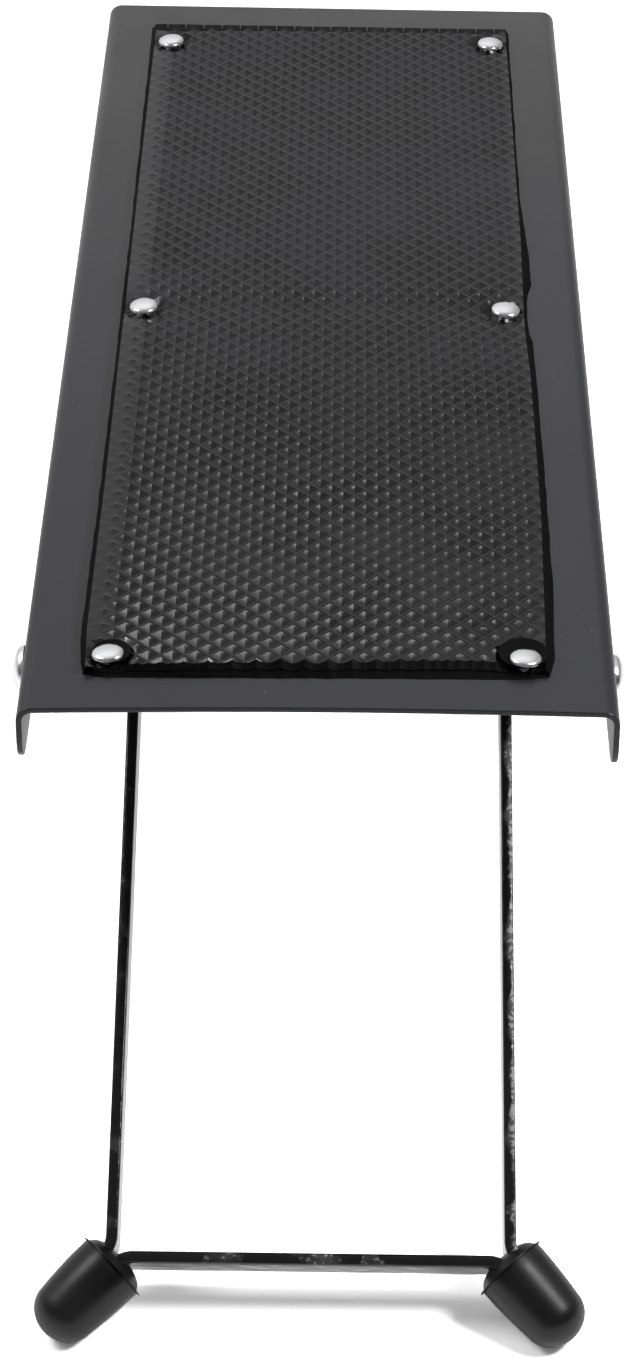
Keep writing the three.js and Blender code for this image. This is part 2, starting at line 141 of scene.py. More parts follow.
@dataclass(frozen=True)
class Look:
    """What a finish draws: its colour, where it is duller and where it stands out."""

    colour: bpy.types.NodeSocket | tuple[float, float, float, float]
    dullness: bpy.types.NodeSocket
    relief: bpy.types.NodeSocket


@dataclass(frozen=True)
class Finish:
    """What all finishes share: a slot, a colour, a shine that varies and a fine relief.

    Each random pattern has a name, the width of one of its blobs in metres, and its detail.
    """

    name: str
    slot: Slot
    colour: str
    roughness: float
    metallic: float = 0.0
    gloss: float = 0.5
    patterns: tuple[tuple[str, float, float], ...] = ()
    dull_tones: tuple[float, float] = (0.35, 0.65)
    shinier: float = 0.0
    duller: float = 0.0
    relief_height: float = 0.0
    relief_strength: float = 1.0

    @cache
    def material(self) -> bpy.types.Material:
        """Makes the material, once.

        Returns:
            The material.
        """
        material = bpy.data.materials.new(self.name)
        material.use_nodes = True
        tree = material.node_tree
        place = add_node(tree, "ShaderNodeTexCoord").outputs["Object"]
        pattern = {}
        for name, blob, detail in self.patterns:
            pattern[name] = add_node(tree, "ShaderNodeTexNoise", {}, {
                "Vector": place, "Scale": 1 / (2 * blob), "Detail": detail}).outputs["Fac"]
        look = self.draw(tree, pattern)
        rough = add_node(tree, "ShaderNodeMapRange", {}, {
            "Value": look.dullness,
            "From Min": self.dull_tones[0],
            "From Max": self.dull_tones[1],
            "To Min": self.roughness - self.shinier,
            "To Max": self.roughness + self.duller,
        })
        bump = add_node(tree, "ShaderNodeBump", {}, {
            "Strength": self.relief_strength,
            "Distance": self.relief_height,
            "Height": look.relief,
        })
        connect(tree, tree.nodes["Principled BSDF"], {
            "Base Color": look.colour,
            "Metallic": self.metallic,
            "Specular IOR Level": self.gloss,
            "Roughness": rough.outputs["Result"],
            "Normal": bump.outputs["Normal"],
        })
        return material

    def draw(
        self, tree: bpy.types.NodeTree, pattern: dict[str, bpy.types.NodeSocket],
    ) -> Look:
        """Draws what is particular to the finish.

        Args:
            tree: The material's node tree.
            pattern: The random patterns by name, each with values about 0.5.

        Returns:
            What the finish looks like.
        """
        raise NotImplementedError


@dataclass(frozen=True)
class PowderCoat(Finish):
    """Satin black powder coat baked on sheet steel: even and dark, with a faint orange peel."""

    patterns: tuple[tuple[str, float, float], ...] = (
        ("cloud", 18 * MM, 3), ("dust", 0.35 * MM, 0), ("peel", 0.9 * MM, 2))
    shinier: float = 0.03
    duller: float = 0.04
    relief_height: float = 0.03 * MM
    relief_strength: float = 0.5
    dust_tones: tuple[float, float] = (0.86, 0.9)
    dust_share: float = 0.4
    dust_colour: str = "#8b8c8e"

    def draw(
        self, tree: bpy.types.NodeTree, pattern: dict[str, bpy.types.NodeSocket],
    ) -> Look:
        """Draws a little dust, soft clouds in the shine, and the peel.

        Args:
            tree: The material's node tree.
            pattern: The random patterns by name.

        Returns:
            The coat's look.
        """
        dust = add_node(tree, "ShaderNodeMapRange", {}, {
            "Value": pattern["dust"],
            "From Min": self.dust_tones[0],
            "From Max": self.dust_tones[1],
            "To Max": self.dust_share,
        })
        colour = add_node(tree, "ShaderNodeMix", {"data_type": "RGBA"}, {
            0: dust.outputs["Result"], 6: linear(self.colour), 7: linear(self.dust_colour)})
        return Look(colour.outputs[2], pattern["cloud"], pattern["peel"])


@dataclass(frozen=True)
class StrapPaint(Finish):
    """Gloss black paint dipped on strap steel: deep and shiny, thin and chipped at its edges.

    Its wear follows the piece's attribute named wear.
    """

    patterns: tuple[tuple[str, float, float], ...] = (
        ("scrape", 5 * MM, 3), ("chip", 0.5 * MM, 3), ("ripple", 2.2 * MM, 2))
    dull_tones: tuple[float, float] = (0.0, 1.0)
    duller: float = 0.25
    relief_height: float = 0.35 * MM
    relief_strength: float = 0.7
    wear_gain: float = 0.2
    thin_tones: tuple[float, float] = (0.76, 0.88)
    chip_tones: tuple[float, float] = (0.83, 0.86)
    chip_depth: float = 0.2
    bare_steel: str = "#9a9a98"
    thin_paint: str = "#3d3e3f"

    def draw(
        self, tree: bpy.types.NodeTree, pattern: dict[str, bpy.types.NodeSocket],
    ) -> Look:
        """Draws the thin paint, the chips down to bare steel, and the ripples of the dip.

        Args:
            tree: The material's node tree.
            pattern: The random patterns by name.

        Returns:
            The paint's look.
        """
        wear = add_node(tree, "ShaderNodeAttribute", {"attribute_name": "wear"}).outputs["Fac"]
        worn = []
        for name, tones in (("scrape", self.thin_tones), ("chip", self.chip_tones)):
            spots = add_node(tree, "ShaderNodeMath", {"operation": "MULTIPLY_ADD"}, {
                0: wear, 1: self.wear_gain, 2: pattern[name]})
            worn.append(add_node(tree, "ShaderNodeMapRange", {}, {
                "Value": spots.outputs[0], "From Min": tones[0], "From Max": tones[1],
            }).outputs["Result"])
        thin, chips = worn
        bare = add_node(tree, "ShaderNodeMath", {"operation": "MULTIPLY"}, {0: thin, 1: chips})
        painted = add_node(tree, "ShaderNodeMix", {"data_type": "RGBA"}, {
            0: thin, 6: linear(self.colour), 7: linear(self.thin_paint)})
        colour = add_node(tree, "ShaderNodeMix", {"data_type": "RGBA"}, {
            0: bare.outputs[0], 6: painted.outputs[2], 7: linear(self.bare_steel)})
        dips = add_node(tree, "ShaderNodeMath", {"operation": "MULTIPLY_ADD"}, {
            0: bare.outputs[0], 1: -self.chip_depth, 2: pattern["ripple"]})
        return Look(colour.outputs[2], thin, dips.outputs[0])


@dataclass(frozen=True)
class MouldedRubber(Finish):
    """Black rubber pressed in a mould: dull in the hollows, with a thin greasy shine.

    It is painted blackest, as shade, where the piece's attribute named shade is 1.
    """

    patterns: tuple[tuple[str, float, float], ...] = (("bloom", 9 * MM, 4), ("grain", 0.5 * MM, 2))
    dull_tones: tuple[float, float] = (0.3, 0.7)
    shinier: float = 0.06
    duller: float = 0.1
    relief_height: float = 0.05 * MM
    relief_strength: float = 0.5
    bloom_tones: tuple[float, float] = (0.35, 0.7)
    bloom_colour: str = "#141416"
    shaded_colour: str = "#020203"

    def draw(
        self, tree: bpy.types.NodeTree, pattern: dict[str, bpy.types.NodeSocket],
    ) -> Look:
        """Draws the bloom on the rubber's skin, its painted shade and its grain.

        Args:
            tree: The material's node tree.
            pattern: The random patterns by name.

        Returns:
            The rubber's look.
        """
        share = add_node(tree, "ShaderNodeMapRange", {}, {
            "Value": pattern["bloom"],
            "From Min": self.bloom_tones[0],
            "From Max": self.bloom_tones[1],
        })
        skin = add_node(tree, "ShaderNodeMix", {"data_type": "RGBA"}, {
            0: share.outputs["Result"], 6: linear(self.colour), 7: linear(self.bloom_colour)})
        # Painted shade: the attribute named shade blends the skin towards near-black.
        shade = add_node(tree, "ShaderNodeAttribute", {"attribute_name": "shade"})
        colour = add_node(tree, "ShaderNodeMix", {"data_type": "RGBA"}, {
            0: shade.outputs["Fac"], 6: skin.outputs[2], 7: linear(self.shaded_colour)})
        return Look(colour.outputs[2], pattern["bloom"], pattern["grain"])


@dataclass(frozen=True)
class RivetAluminium(Finish):
    """Soft aluminium, headed and then tumbled bright: shiny, with a skin of shallow dents."""

    metallic: float = 1.0
    patterns: tuple[tuple[str, float, float], ...] = (("dent", 1.1 * MM, 2),)
    shinier: float = 0.05
    duller: float = 0.1
    relief_height: float = 0.12 * MM
    relief_strength: float = 0.7

    def draw(
        self, tree: bpy.types.NodeTree, pattern: dict[str, bpy.types.NodeSocket],
    ) -> Look:
        """Draws the dents, which vary the shine as well as the surface.

        Args:
            tree: The material's node tree, not used here.
            pattern: The random patterns by name.

        Returns:
            The aluminium's look.
        """
        return Look(linear(self.colour), pattern["dent"], pattern["dent"])


@dataclass(frozen=True)
class ZincPlate(Finish):
    """Steel with bright zinc: pale and a little cloudy, with a fine grain."""

    metallic: float = 1.0
    patterns: tuple[tuple[str, float, float], ...] = (("cloud", 5 * MM, 4), ("grain", 0.3 * MM, 2))
    shinier: float = 0.08
    duller: float = 0.08
    relief_height: float = 0.04 * MM
    relief_strength: float = 0.4
    cloud_tones: tuple[float, float] = (0.35, 0.65)
    cloud_colour: str = "#8f9195"

    def draw(
        self, tree: bpy.types.NodeTree, pattern: dict[str, bpy.types.NodeSocket],
    ) -> Look:
        """Draws the zinc's clouds and its grain.

        Args:
            tree: The material's node tree.
            pattern: The random patterns by name.

        Returns:
            The zinc's look.
        """
        share = add_node(tree, "ShaderNodeMapRange", {}, {
            "Value": pattern["cloud"],
            "From Min": self.cloud_tones[0],
            "From Max": self.cloud_tones[1],
        })
        colour = add_node(tree, "ShaderNodeMix", {"data_type": "RGBA"}, {
            0: share.outputs["Result"], 6: linear(self.colour), 7: linear(self.cloud_colour)})
        return Look(colour.outputs[2], pattern["cloud"], pattern["grain"])


POWDER_COAT = PowderCoat("satin_powder_coat", Slot.PLATE_PAINT, "#242528", 0.3)
SHEARED_COAT = PowderCoat("sheared_edge_coat", Slot.PLATE_PAINT, "#0b0b0d", 0.55)
STRAP_PAINT = StrapPaint("gloss_black_paint", Slot.STRAP_PAINT, "#121214", 0.16)
TREAD_RUBBER = MouldedRubber(
    "pressed_tread_rubber", Slot.TREAD_RUBBER, "#272829", 0.25, gloss=0.42,
    patterns=(("bloom", 9 * MM, 4), ("grain", 0.7 * MM, 2)), relief_height=0.1 * MM,
    bloom_colour="#343538")
# Near-black cut rubber: the knife-cut wall's matte rubber darkened as painted shade, and painted
# shadow on the far strip and in the near rivets' bowls.
CUT_RUBBER_AND_PAINTED_SHADE = MouldedRubber(
    "knife_cut_rubber", Slot.TREAD_RUBBER, "#040405", 0.6, gloss=0.08, bloom_colour="#070708")
FOOT_RUBBER = MouldedRubber("moulded_foot_rubber", Slot.FOOT_RUBBER, "#09090a", 0.36, gloss=0.4)
BRIGHT_RIVET = RivetAluminium("tumbled_aluminium", Slot.RIVET_BRIGHT, "#f3f4f5", 0.2)
ZINC_STEEL = ZincPlate("zinc_plated_steel", Slot.ZINC_STEEL, "#b4b6ba", 0.34)


@contextmanager
def editing(piece: bpy.types.Object, kind: str) -> Iterator[None]:
    """Opens a piece in edit mode with nothing selected, and closes it again.

    Args:
        piece: The piece to shape.
        kind: VERT, EDGE or FACE, which is what gets selected.
    """
    only(piece)
    bpy.ops.object.mode_set(mode="EDIT")
    bpy.ops.mesh.select_mode(type=kind)
    bpy.ops.mesh.select_all(action="DESELECT")
    yield
    bpy.ops.object.mode_set(mode="OBJECT")


def only(piece: bpy.types.Object) -> None:
    """Selects one object and makes it active.

    Args:
        piece: The object.
    """
    bpy.ops.object.select_all(action="DESELECT")
    piece.select_set(True)
    bpy.context.view_layer.objects.active = piece


def pick(kind: str, test: Callable[[bmesh.types.BMVert], bool]) -> None:
    """Selects, in edit mode, what passes a test.

    Args:
        kind: VERT, EDGE or FACE.
        test: Called with each vertex, edge or face.
    """
    mesh = bmesh.from_edit_mesh(bpy.context.edit_object.data)
    elements = {"VERT": mesh.verts, "EDGE": mesh.edges, "FACE": mesh.faces}[kind]
    for element in elements:
        if test(element):
            element.select_set(True)
    mesh.select_flush_mode()
    bmesh.update_edit_mesh(bpy.context.edit_object.data)


def started(name: str) -> bpy.types.Object:
    """Names the primitive that was just added and puts its place into its mesh.

    Args:
        name: The name.

    Returns:
        The primitive.
    """
    piece = bpy.context.active_object
    piece.name = name
    piece.data.name = name
    only(piece)
    bpy.ops.object.transform_apply(location=True, rotation=True, scale=True)
    return piece


def modified(piece: bpy.types.Object, kind: str, settings: dict[str, object]) -> None:
    """Adds a modifier with its settings and applies it.

    Args:
        piece: The piece that it shapes.
        kind: The modifier's type.
        settings: Properties of the modifier.
    """
    only(piece)
    modifier = piece.modifiers.new(kind.lower(), kind)
    for name, value in settings.items():
        setattr(modifier, name, value)
    bpy.ops.object.modifier_apply(modifier=modifier.name)


def corners(node: str) -> tuple[Vector, Vector]:
    """Finds the lowest and the highest corner of a node's box."""
    low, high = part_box(node)
    return Vector(low), Vector(high)


def middle_of(node: str) -> Vector:
    """Finds the middle of a node's box."""
    low, high = corners(node)
    return (low + high) / 2


def eased(piece: bpy.types.Object, width: float, segments: int = 2) -> None:
    """Rounds a piece's sharp edges.

    Args:
        piece: The piece.
        width: How wide each rounding is, in metres.
        segments: How many faces go round it.
    """
    modified(piece, "BEVEL", {
        "width": width,
        "segments": segments,
        "limit_method": "ANGLE",
        "angle_limit": math.radians(SHARP_ANGLE),
        "harden_normals": False,
    })


def smoothed(piece: bpy.types.Object, degrees: float = SHARP_ANGLE) -> None:
    """Shades a piece smooth, apart from edges sharper than an angle in degrees."""
    only(piece)
    bpy.ops.object.shade_smooth_by_angle(angle=math.radians(degrees))


def outward(piece: bpy.types.Object) -> None:
    """Merges a piece's doubled points and turns its faces to point out.

    Args:
        piece: The piece.
    """
    with editing(piece, "VERT"):
        bpy.ops.mesh.select_all(action="SELECT")
        bpy.ops.mesh.remove_doubles(threshold=SAME_PLACE)
        bpy.ops.mesh.normals_make_consistent(inside=False)


def turned(name: str, rings: Sequence[tuple[float, float]], segments: int) -> bpy.types.Object:
    """Raises a round piece along Z, ring by ring, as on a lathe.

    Args:
        name: The piece's name.
        rings: Radius and height of each ring, in metres, from the bottom up.
        segments: How many points go round a ring.

    Returns:
        The closed piece, upright on the Z axis.
    """
    bpy.ops.mesh.primitive_circle_add(
        vertices=segments, radius=rings[0][0], fill_type="NOTHING", location=(0, 0, rings[0][1]))
    piece = started(name)
    with editing(piece, "EDGE"):
        bpy.ops.mesh.select_all(action="SELECT")
        for (radius, height), (next_radius, next_height) in zip(rings, rings[1:]):
            bpy.ops.mesh.extrude_region_move(
                TRANSFORM_OT_translate={"value": (0, 0, next_height - height)})
            wider = next_radius / radius
            bpy.ops.transform.resize(value=(wider, wider, 1), center_override=(0, 0, next_height))
        bpy.ops.mesh.edge_face_add()
        bpy.ops.mesh.select_all(action="DESELECT")
        bottom = rings[0][1]
        pick("EDGE", lambda edge: edge.is_boundary
             and all(abs(vertex.co.z - bottom) < SAME_PLACE for vertex in edge.verts))
        bpy.ops.mesh.edge_face_add()
    outward(piece)
    return piece


def placed(piece: bpy.types.Object, place: Matrix) -> None:
    """Moves a piece to its place and puts that place into its mesh.

    Args:
        piece: The piece.
        place: Where it goes.
    """
    piece.matrix_world = place
    only(piece)
    bpy.ops.object.transform_apply(location=True, rotation=True, scale=True)


def refined(node: str, name: str, width: float) -> bpy.types.Object:
    """Copies a node, joins its loose faces and rounds its edges.

    Args:
        node: The node that is copied.
        name: The new piece's name.
        width: How wide each rounded edge is, in metres.

    Returns:
        The new piece, in the node's place.
    """
    source = frame["nodes"][node]
    only(source)
    bpy.ops.object.duplicate()
    piece = bpy.context.active_object
    piece.parent = None
    piece.matrix_world = source.matrix_world
    piece.name = name
    piece.data.name = name
    bpy.ops.object.transform_apply(location=True, rotation=True, scale=True)
    with editing(piece, "VERT"):
        bpy.ops.mesh.select_all(action="SELECT")
        bpy.ops.mesh.remove_doubles(threshold=LOOSE_JOINT)
        bpy.ops.mesh.dissolve_limited(angle_limit=math.radians(FLAT_ANGLE))
    eased(piece, width)
    smoothed(piece)
    return piece


def dressed(
    piece: bpy.types.Object, finish: Finish, body: str, nodes: Sequence[str],
) -> bpy.types.Object:
    """Gives a piece its finish, the body that it rides on and the nodes that it stands for.

    Args:
        piece: The modelled piece.
        finish: Its finish.
        body: The body that it moves with.
        nodes: The nodes that it replaces.

    Returns:
        The same piece.
    """
    piece.data.materials.clear()
    piece.data.materials.append(finish.material())
    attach(piece, body)
    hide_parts(*nodes)
    log.info("%s on %s, for %s", piece.name, body, ", ".join(nodes))
    return piece


def between(points: Sequence[tuple[float, float]], place: float) -> float:
    """Reads a height off a line of points, straight between them and level beyond them.

    Args:
        points: Place and height of each point, in order.
        place: Where to read.

    Returns:
        The height there.
    """
    if place <= points[0][0]:
        return points[0][1]
    for (left, low), (right, high) in zip(points, points[1:]):
        if place <= right:
            return low + (high - low) * (place - left) / (right - left)
    return points[-1][1]


def faded(distance: float, inner: float, outer: float) -> float:
    """Falls from 1 at an inner distance to 0 at an outer one."""
    return 1 - min(max((distance - inner) / (outer - inner), 0.0), 1.0)


class Side(Enum):
    """The two sides of the footrest, as seen from its hinged end."""

    LEFT = -1
    RIGHT = 1

    @property
    def word(self) -> str:
        """The side's name as nodes have it."""
        return self.name.lower()

    @staticmethod
    def of(across: float) -> "Side":
        """The side on which a place across the footrest lies."""
        return Side.RIGHT if across > 0 else Side.LEFT


class Row(Enum):
    """The rows of rivets through the tread, from the hinged end on."""

    NEAR = "near"
    MID = "mid"
    FAR = "far"

    def rivet(self, side: Side) -> str:
        """The node of the row's rivet on one side."""
        return f"tread_rivet_{self.value}_{side.word}"


@dataclass
class PlateSheet:
    """The plate: one sheet with its long sides bent down and its flanges' corners rounded.

    The real sheet isn't quite square: its near end is cut in a slight bow and askew, its far end
    is askew, it widens towards the near end, and its flanges flare and are a little deeper.
    """

    thickness: float = 1.15 * MM
    bend_radius: float = 3 * MM
    corner_radius: float = 7.4 * MM
    edge_rounding: float = 0.22 * MM
    edge_segments: int = 3
    bend_segments: int = 8
    near_trim: float = 0.2 * MM
    near_bow: float = 1.0 * MM
    bow_cuts: tuple[float, ...] = tuple(at * MM for at in (-45, -34, -22, -8, 8, 22, 34, 45))
    near_skew: float = 0.0067
    far_skew: float = 0.015
    flange_flare: float = 0.2 * MM
    flange_extra: dict[Side, float] = field(default_factory=lambda: {
        Side.LEFT: 1.0 * MM, Side.RIGHT: 1.8 * MM})
    near_spread: dict[Side, float] = field(default_factory=lambda: {
        Side.LEFT: 0.2 * MM, Side.RIGHT: 0.6 * MM})
    end_facing: float = 0.8

    def build(self) -> bpy.types.Object:
        """Bends the sheet out of one flat face.

        Returns:
            The sheet.
        """
        low, high = corners("foot_plate")
        bpy.ops.mesh.primitive_plane_add(size=1, location=(0, 0, 0))
        piece = started("plate_sheet")
        with editing(piece, "EDGE"):
            bpy.ops.mesh.select_all(action="SELECT")
            bpy.ops.transform.resize(
                value=(high.x - low.x, high.y - low.y, 1), center_override=(0, 0, 0))
            bpy.ops.transform.translate(value=(0, (low.y + high.y) / 2, high.z))
            bpy.ops.mesh.select_all(action="DESELECT")
            pick("EDGE", self.on_long_side(high.x))
            bpy.ops.mesh.extrude_region_move(
                TRANSFORM_OT_translate={"value": (0, 0, low.z - high.z)})
            bpy.ops.mesh.select_all(action="DESELECT")
            pick("EDGE", lambda edge: self.on_long_side(high.x)(edge)
                 and all(abs(vertex.co.z - high.z) < SAME_PLACE for vertex in edge.verts))
            bpy.ops.mesh.bevel(
                offset_type="OFFSET", offset=self.bend_radius, segments=self.bend_segments,
                affect="EDGES")
        with editing(piece, "VERT"):
            pick("VERT", lambda vertex: abs(vertex.co.z - low.z) < SAME_PLACE)
            bpy.ops.mesh.bevel(
                offset_type="OFFSET", offset=self.corner_radius, segments=self.bend_segments,
                affect="VERTICES")
            for across in self.bow_cuts:
                bpy.ops.mesh.select_all(action="SELECT")
                bpy.ops.mesh.bisect(plane_co=(across, 0, 0), plane_no=(1, 0, 0))
        modified(piece, "SOLIDIFY", {
            "thickness": self.thickness, "offset": -1, "use_even_offset": True})
        eased(piece, self.edge_rounding, self.edge_segments)
        self.set_askew(piece, low, high)
        smoothed(piece)
        return piece

    def set_askew(self, piece: bpy.types.Object, low: Vector, high: Vector) -> None:
        """Gives the square sheet the small faults of the real one.

        Args:
            piece: The bent sheet.
            low: The lowest corner of the plate's box.
            high: Its highest corner.
        """
        bend = high.z - self.bend_radius
        for vertex in piece.data.vertices:
            co = vertex.co
            side = Side.of(co.x)
            depth = max((bend - co.z) / (bend - low.z), 0.0)
            nearness = (high.y - co.y) / (high.y - low.y)
            co.x += side.value * self.flange_flare * depth + self.near_spread[side] * nearness
            co.z -= self.flange_extra[side] * depth
            if nearness > 0.5:
                bow = self.near_bow * max(1 - (co.x / high.x) ** 2, 0.0)
                co.y += self.near_trim + bow + self.near_skew * co.x
            else:
                co.y -= self.far_skew * co.x

    def darken_ends(self, piece: bpy.types.Object, material: bpy.types.Material) -> None:
        """Gives the sheet's sheared end faces their own, matter coat.

        Args:
            piece: The sheet, already dressed in its powder coat.
            material: The coat of the end faces.
        """
        piece.data.materials.append(material)
        for polygon in piece.data.polygons:
            if abs(polygon.normal.y) > self.end_facing:
                polygon.material_index = 1

    @staticmethod
    def on_long_side(half_width: float) -> Callable[[bmesh.types.BMEdge], bool]:
        """Makes a test for the flat face's two long edges.

        Args:
            half_width: How far from the middle they lie.

        Returns:
            The test.
        """
        return lambda edge: all(
            abs(vertex.co.x - edge.verts[0].co.x) < SAME_PLACE
            and abs(abs(vertex.co.x) - half_width) < SAME_PLACE
            for vertex in edge.verts)


@dataclass
class Tread:
    """The rubber tread: pyramids in a lattice, cut out by knife and pulled down by its rivets.

    Its rim is where the knife went in and its foot where the cut meets the plate. Their lines are
    in millimetres from the plate's near end and middle, because the real cuts wander and meet in
    a step beside the middle rivet on the right. The side lines give half widths along the plate,
    and the near lines give places along the plate, from left to right.
    """

    pitch: float = 3.18 * MM
    groove: float = 0.34 * MM
    waist_inset: float = 0.7 * MM
    waist_height: float = 0.34 * MM
    pyramid_height: float = 1.0 * MM
    peak: float = 0.12 * MM
    facet_angle: float = 21
    near_margin: float = 12.1 * MM
    near_slant: float = 0.0352
    near_pull_reach: float = 10 * MM
    far_margin: float = 17.4 * MM
    # The far strip is a low near-black rubber ledge beyond the pyramids, a painted shadow along the
    # tread's far edge.
    far_shadow_strip: float = 4.6 * MM
    far_skew: float = 0.012
    far_slope: float = 0.3 * MM
    shadow_strip_height: float = 1.3 * MM
    dimple_depth: float = 0.45 * MM
    dimple_reach: float = 7.5 * MM
    seat_depth: float = 0.8 * MM
    seat_inner: float = 3.3 * MM
    seat_outer: float = 4.9 * MM
    hollow_lip: float = 1.5 * MM
    hollow_wall: float = 0.5 * MM
    hollow_rounding: float = 0.1 * MM
    hollow_segments: int = 40
    hollow_smoothing: float = 50
    hollows: dict[Side, tuple[Vector, float]] = field(default_factory=lambda: {
        Side.LEFT: (Vector((0.6, 0.7)) * MM, 3.6 * MM),
        Side.RIGHT: (Vector((-0.4, 1.6)) * MM, 4.6 * MM),
    })
    fold_depth: float = 0.6 * MM
    fold_beyond_rivets: float = 1.5 * MM
    fold_reach: float = 5 * MM
    wave_height: float = 0.3 * MM
    wave_width: float = 30 * MM
    wave_length: float = 24 * MM
    wave_slice: float = 0.7
    relief_level_share: float = 0.65
    faint_edge: float = 7 * MM
    faint_shares: dict[Side, tuple[float, float]] = field(default_factory=lambda: {
        Side.LEFT: (0.15, 1.0), Side.RIGHT: (0.5, 2.0)})
    # Painted shade along the plate, in mm from its near end: darker towards the near end, lighter
    # towards the far end.
    painted_shade_line: tuple[tuple[float, float], ...] = ((0, 0.88), (95, 0.76), (150, 0.42), (200, 0.22))
    # Painted shade in a ring round each rivet's head, fading out between these distances.
    shade_inner: float = 3.9 * MM
    shade_outer: float = 4.9 * MM
    wall_steps: tuple[tuple[float, float], ...] = (
        (0.05, 0.05), (0.42, 0.5), (0.12, 0.4), (1.0, 1.0))
    wall_roughness: float = 0.16 * MM
    wall_bump: float = 5 * MM
    wall_bump_rise: float = 10 * MM
    rim_reach: float = 1.3 * MM
    near_reach: float = 0.3 * MM
    far_reach: float = 0.01 * MM
    cut_slack: float = 0.17 * MM
    right_foot_line: tuple[tuple[float, float], ...] = (
        (10.9, 43.0), (17, 44.1), (40, 44.8), (71, 44.8), (116, 44.4), (131, 44.2), (134, 43.5),
        (147, 43.4), (151, 43.8), (155, 44.8), (161.5, 44.7), (175, 44.3), (193, 43.5), (274, 43.4))
    right_rim_line: tuple[tuple[float, float], ...] = (
        (10.9, 42.3), (60, 43.2), (114, 43.0), (132, 42.5), (150, 42.6), (171, 42.8), (274, 42.5))
    left_foot_line: tuple[tuple[float, float], ...] = (
        (10.9, 43.1), (14, 43.8), (22, 44.3), (71, 43.8), (151, 43.6), (191, 43.6), (274, 43.8))
    left_rim_line: tuple[tuple[float, float], ...] = (
        (10.9, 42.6), (22, 43.0), (71, 42.7), (151, 42.6), (191, 42.6), (274, 42.6))
    near_rim_line: tuple[tuple[float, float], ...] = (
        (-42.6, 10.4), (-38, 11.3), (-27, 11.5), (-12, 12.3), (2.5, 12.4), (17, 13.4), (32, 13.8),
        (36, 12.8), (39.3, 11.9), (42.6, 11.5))
    near_foot_line: tuple[tuple[float, float], ...] = (
        (-43.4, 11.8), (-42.2, 10.4), (-40, 9.8), (-27, 9.8), (-12, 10.0), (2.5, 10.2),
        (17, 10.3), (36, 10.4), (39.4, 10.7), (42.7, 11.5))
    plate_near: float = field(init=False)
    bottom: float = field(init=False)
    top: float = field(init=False)
    far: float = field(init=False)

    def __post_init__(self) -> None:
        """Reads where the plate begins and the tread lies, and where its pyramids end."""
        plate_low, plate_high = corners("foot_plate")
        self.plate_near = plate_low.y
        self.bottom = plate_high.z
        self.top = corners("rubber_tread")[1].z
        self.far = plate_high.y - self.far_margin

    def build(self) -> bpy.types.Object:
        """Cuts the tread out of a field of pyramids and gives it its side walls.

        Returns:
            The tread.
        """
        near = self.plate_near + self.near_margin
        valley = self.top - self.pyramid_height
        half_width = max(width for line in (self.right_rim_line, self.left_rim_line)
                         for place, width in line) * MM
        reach = (half_width + (self.far - near) / 2) * math.sqrt(2)
        cells = 2 * math.ceil(reach / (2 * self.pitch))
        bpy.ops.mesh.primitive_grid_add(
            x_subdivisions=cells, y_subdivisions=cells, size=cells * self.pitch,
            location=(0, (near + self.far) / 2, valley), rotation=(0, 0, math.radians(45)))
        piece = started("tread")
        with editing(piece, "FACE"):
            bpy.ops.mesh.select_all(action="SELECT")
            bpy.ops.mesh.inset(thickness=self.groove / 2, depth=0, use_individual=True)
            bpy.ops.mesh.inset(
                thickness=self.waist_inset, depth=self.waist_height, use_individual=True)
            bpy.ops.mesh.poke(offset=self.pyramid_height - self.waist_height)
        with editing(piece, "VERT"):
            for place, way in (
                ((0, near, 0), (self.near_slant, -1, 0)), ((0, self.far, 0), (0, 1, 0)),
                ((half_width, 0, 0), (1, 0, 0)), ((-half_width, 0, 0), (-1, 0, 0)),
            ):
                bpy.ops.mesh.select_all(action="SELECT")
                bpy.ops.mesh.bisect(plane_co=place, plane_no=way, clear_outer=True)
            bpy.ops.mesh.select_all(action="DESELECT")
            pick("VERT", lambda vertex: vertex.co.z > valley + self.pyramid_height - SAME_PLACE)
            bpy.ops.mesh.bevel(offset=self.peak, segments=1, affect="VERTICES")
        self.pull_down(piece, half_width)
        self.wall(piece)
        outward(piece)
        smoothed(piece, self.facet_angle)
        self.line_hollows(piece)
        return piece

    def rim(self, side: Side, along: float) -> float:
        """Half width of the cut's upper rim, at a place along the plate in millimetres."""
        line = self.right_rim_line if side is Side.RIGHT else self.left_rim_line
        return between(line, along) * MM

    def foot(self, side: Side, along: float) -> float:
        """Half width of the cut's lower line, at a place along the plate in millimetres."""
        line = self.right_foot_line if side is Side.RIGHT else self.left_foot_line
        return between(line, along) * MM

    def near_rim(self, across: float) -> float:
        """Where the cut's upper rim runs at the near end, at a place across the plate."""
        return self.plate_near + between(self.near_rim_line, across / MM) * MM

    def near_foot(self, across: float) -> float:
        """Where the cut's lower line runs at the near end, at a place across the plate."""
        return self.plate_near + between(self.near_foot_line, across / MM) * MM

    def hollow_beside(self, side: Side) -> tuple[Vector, float]:
        """Finds the sunk place behind a near rivet.

        Args:
            side: Which of the two near rivets.

        Returns:
            The sunk place's middle and its radius.
        """
        shift, radius = self.hollows[side]
        return middle_of(Row.NEAR.rivet(side)).xy + shift, radius

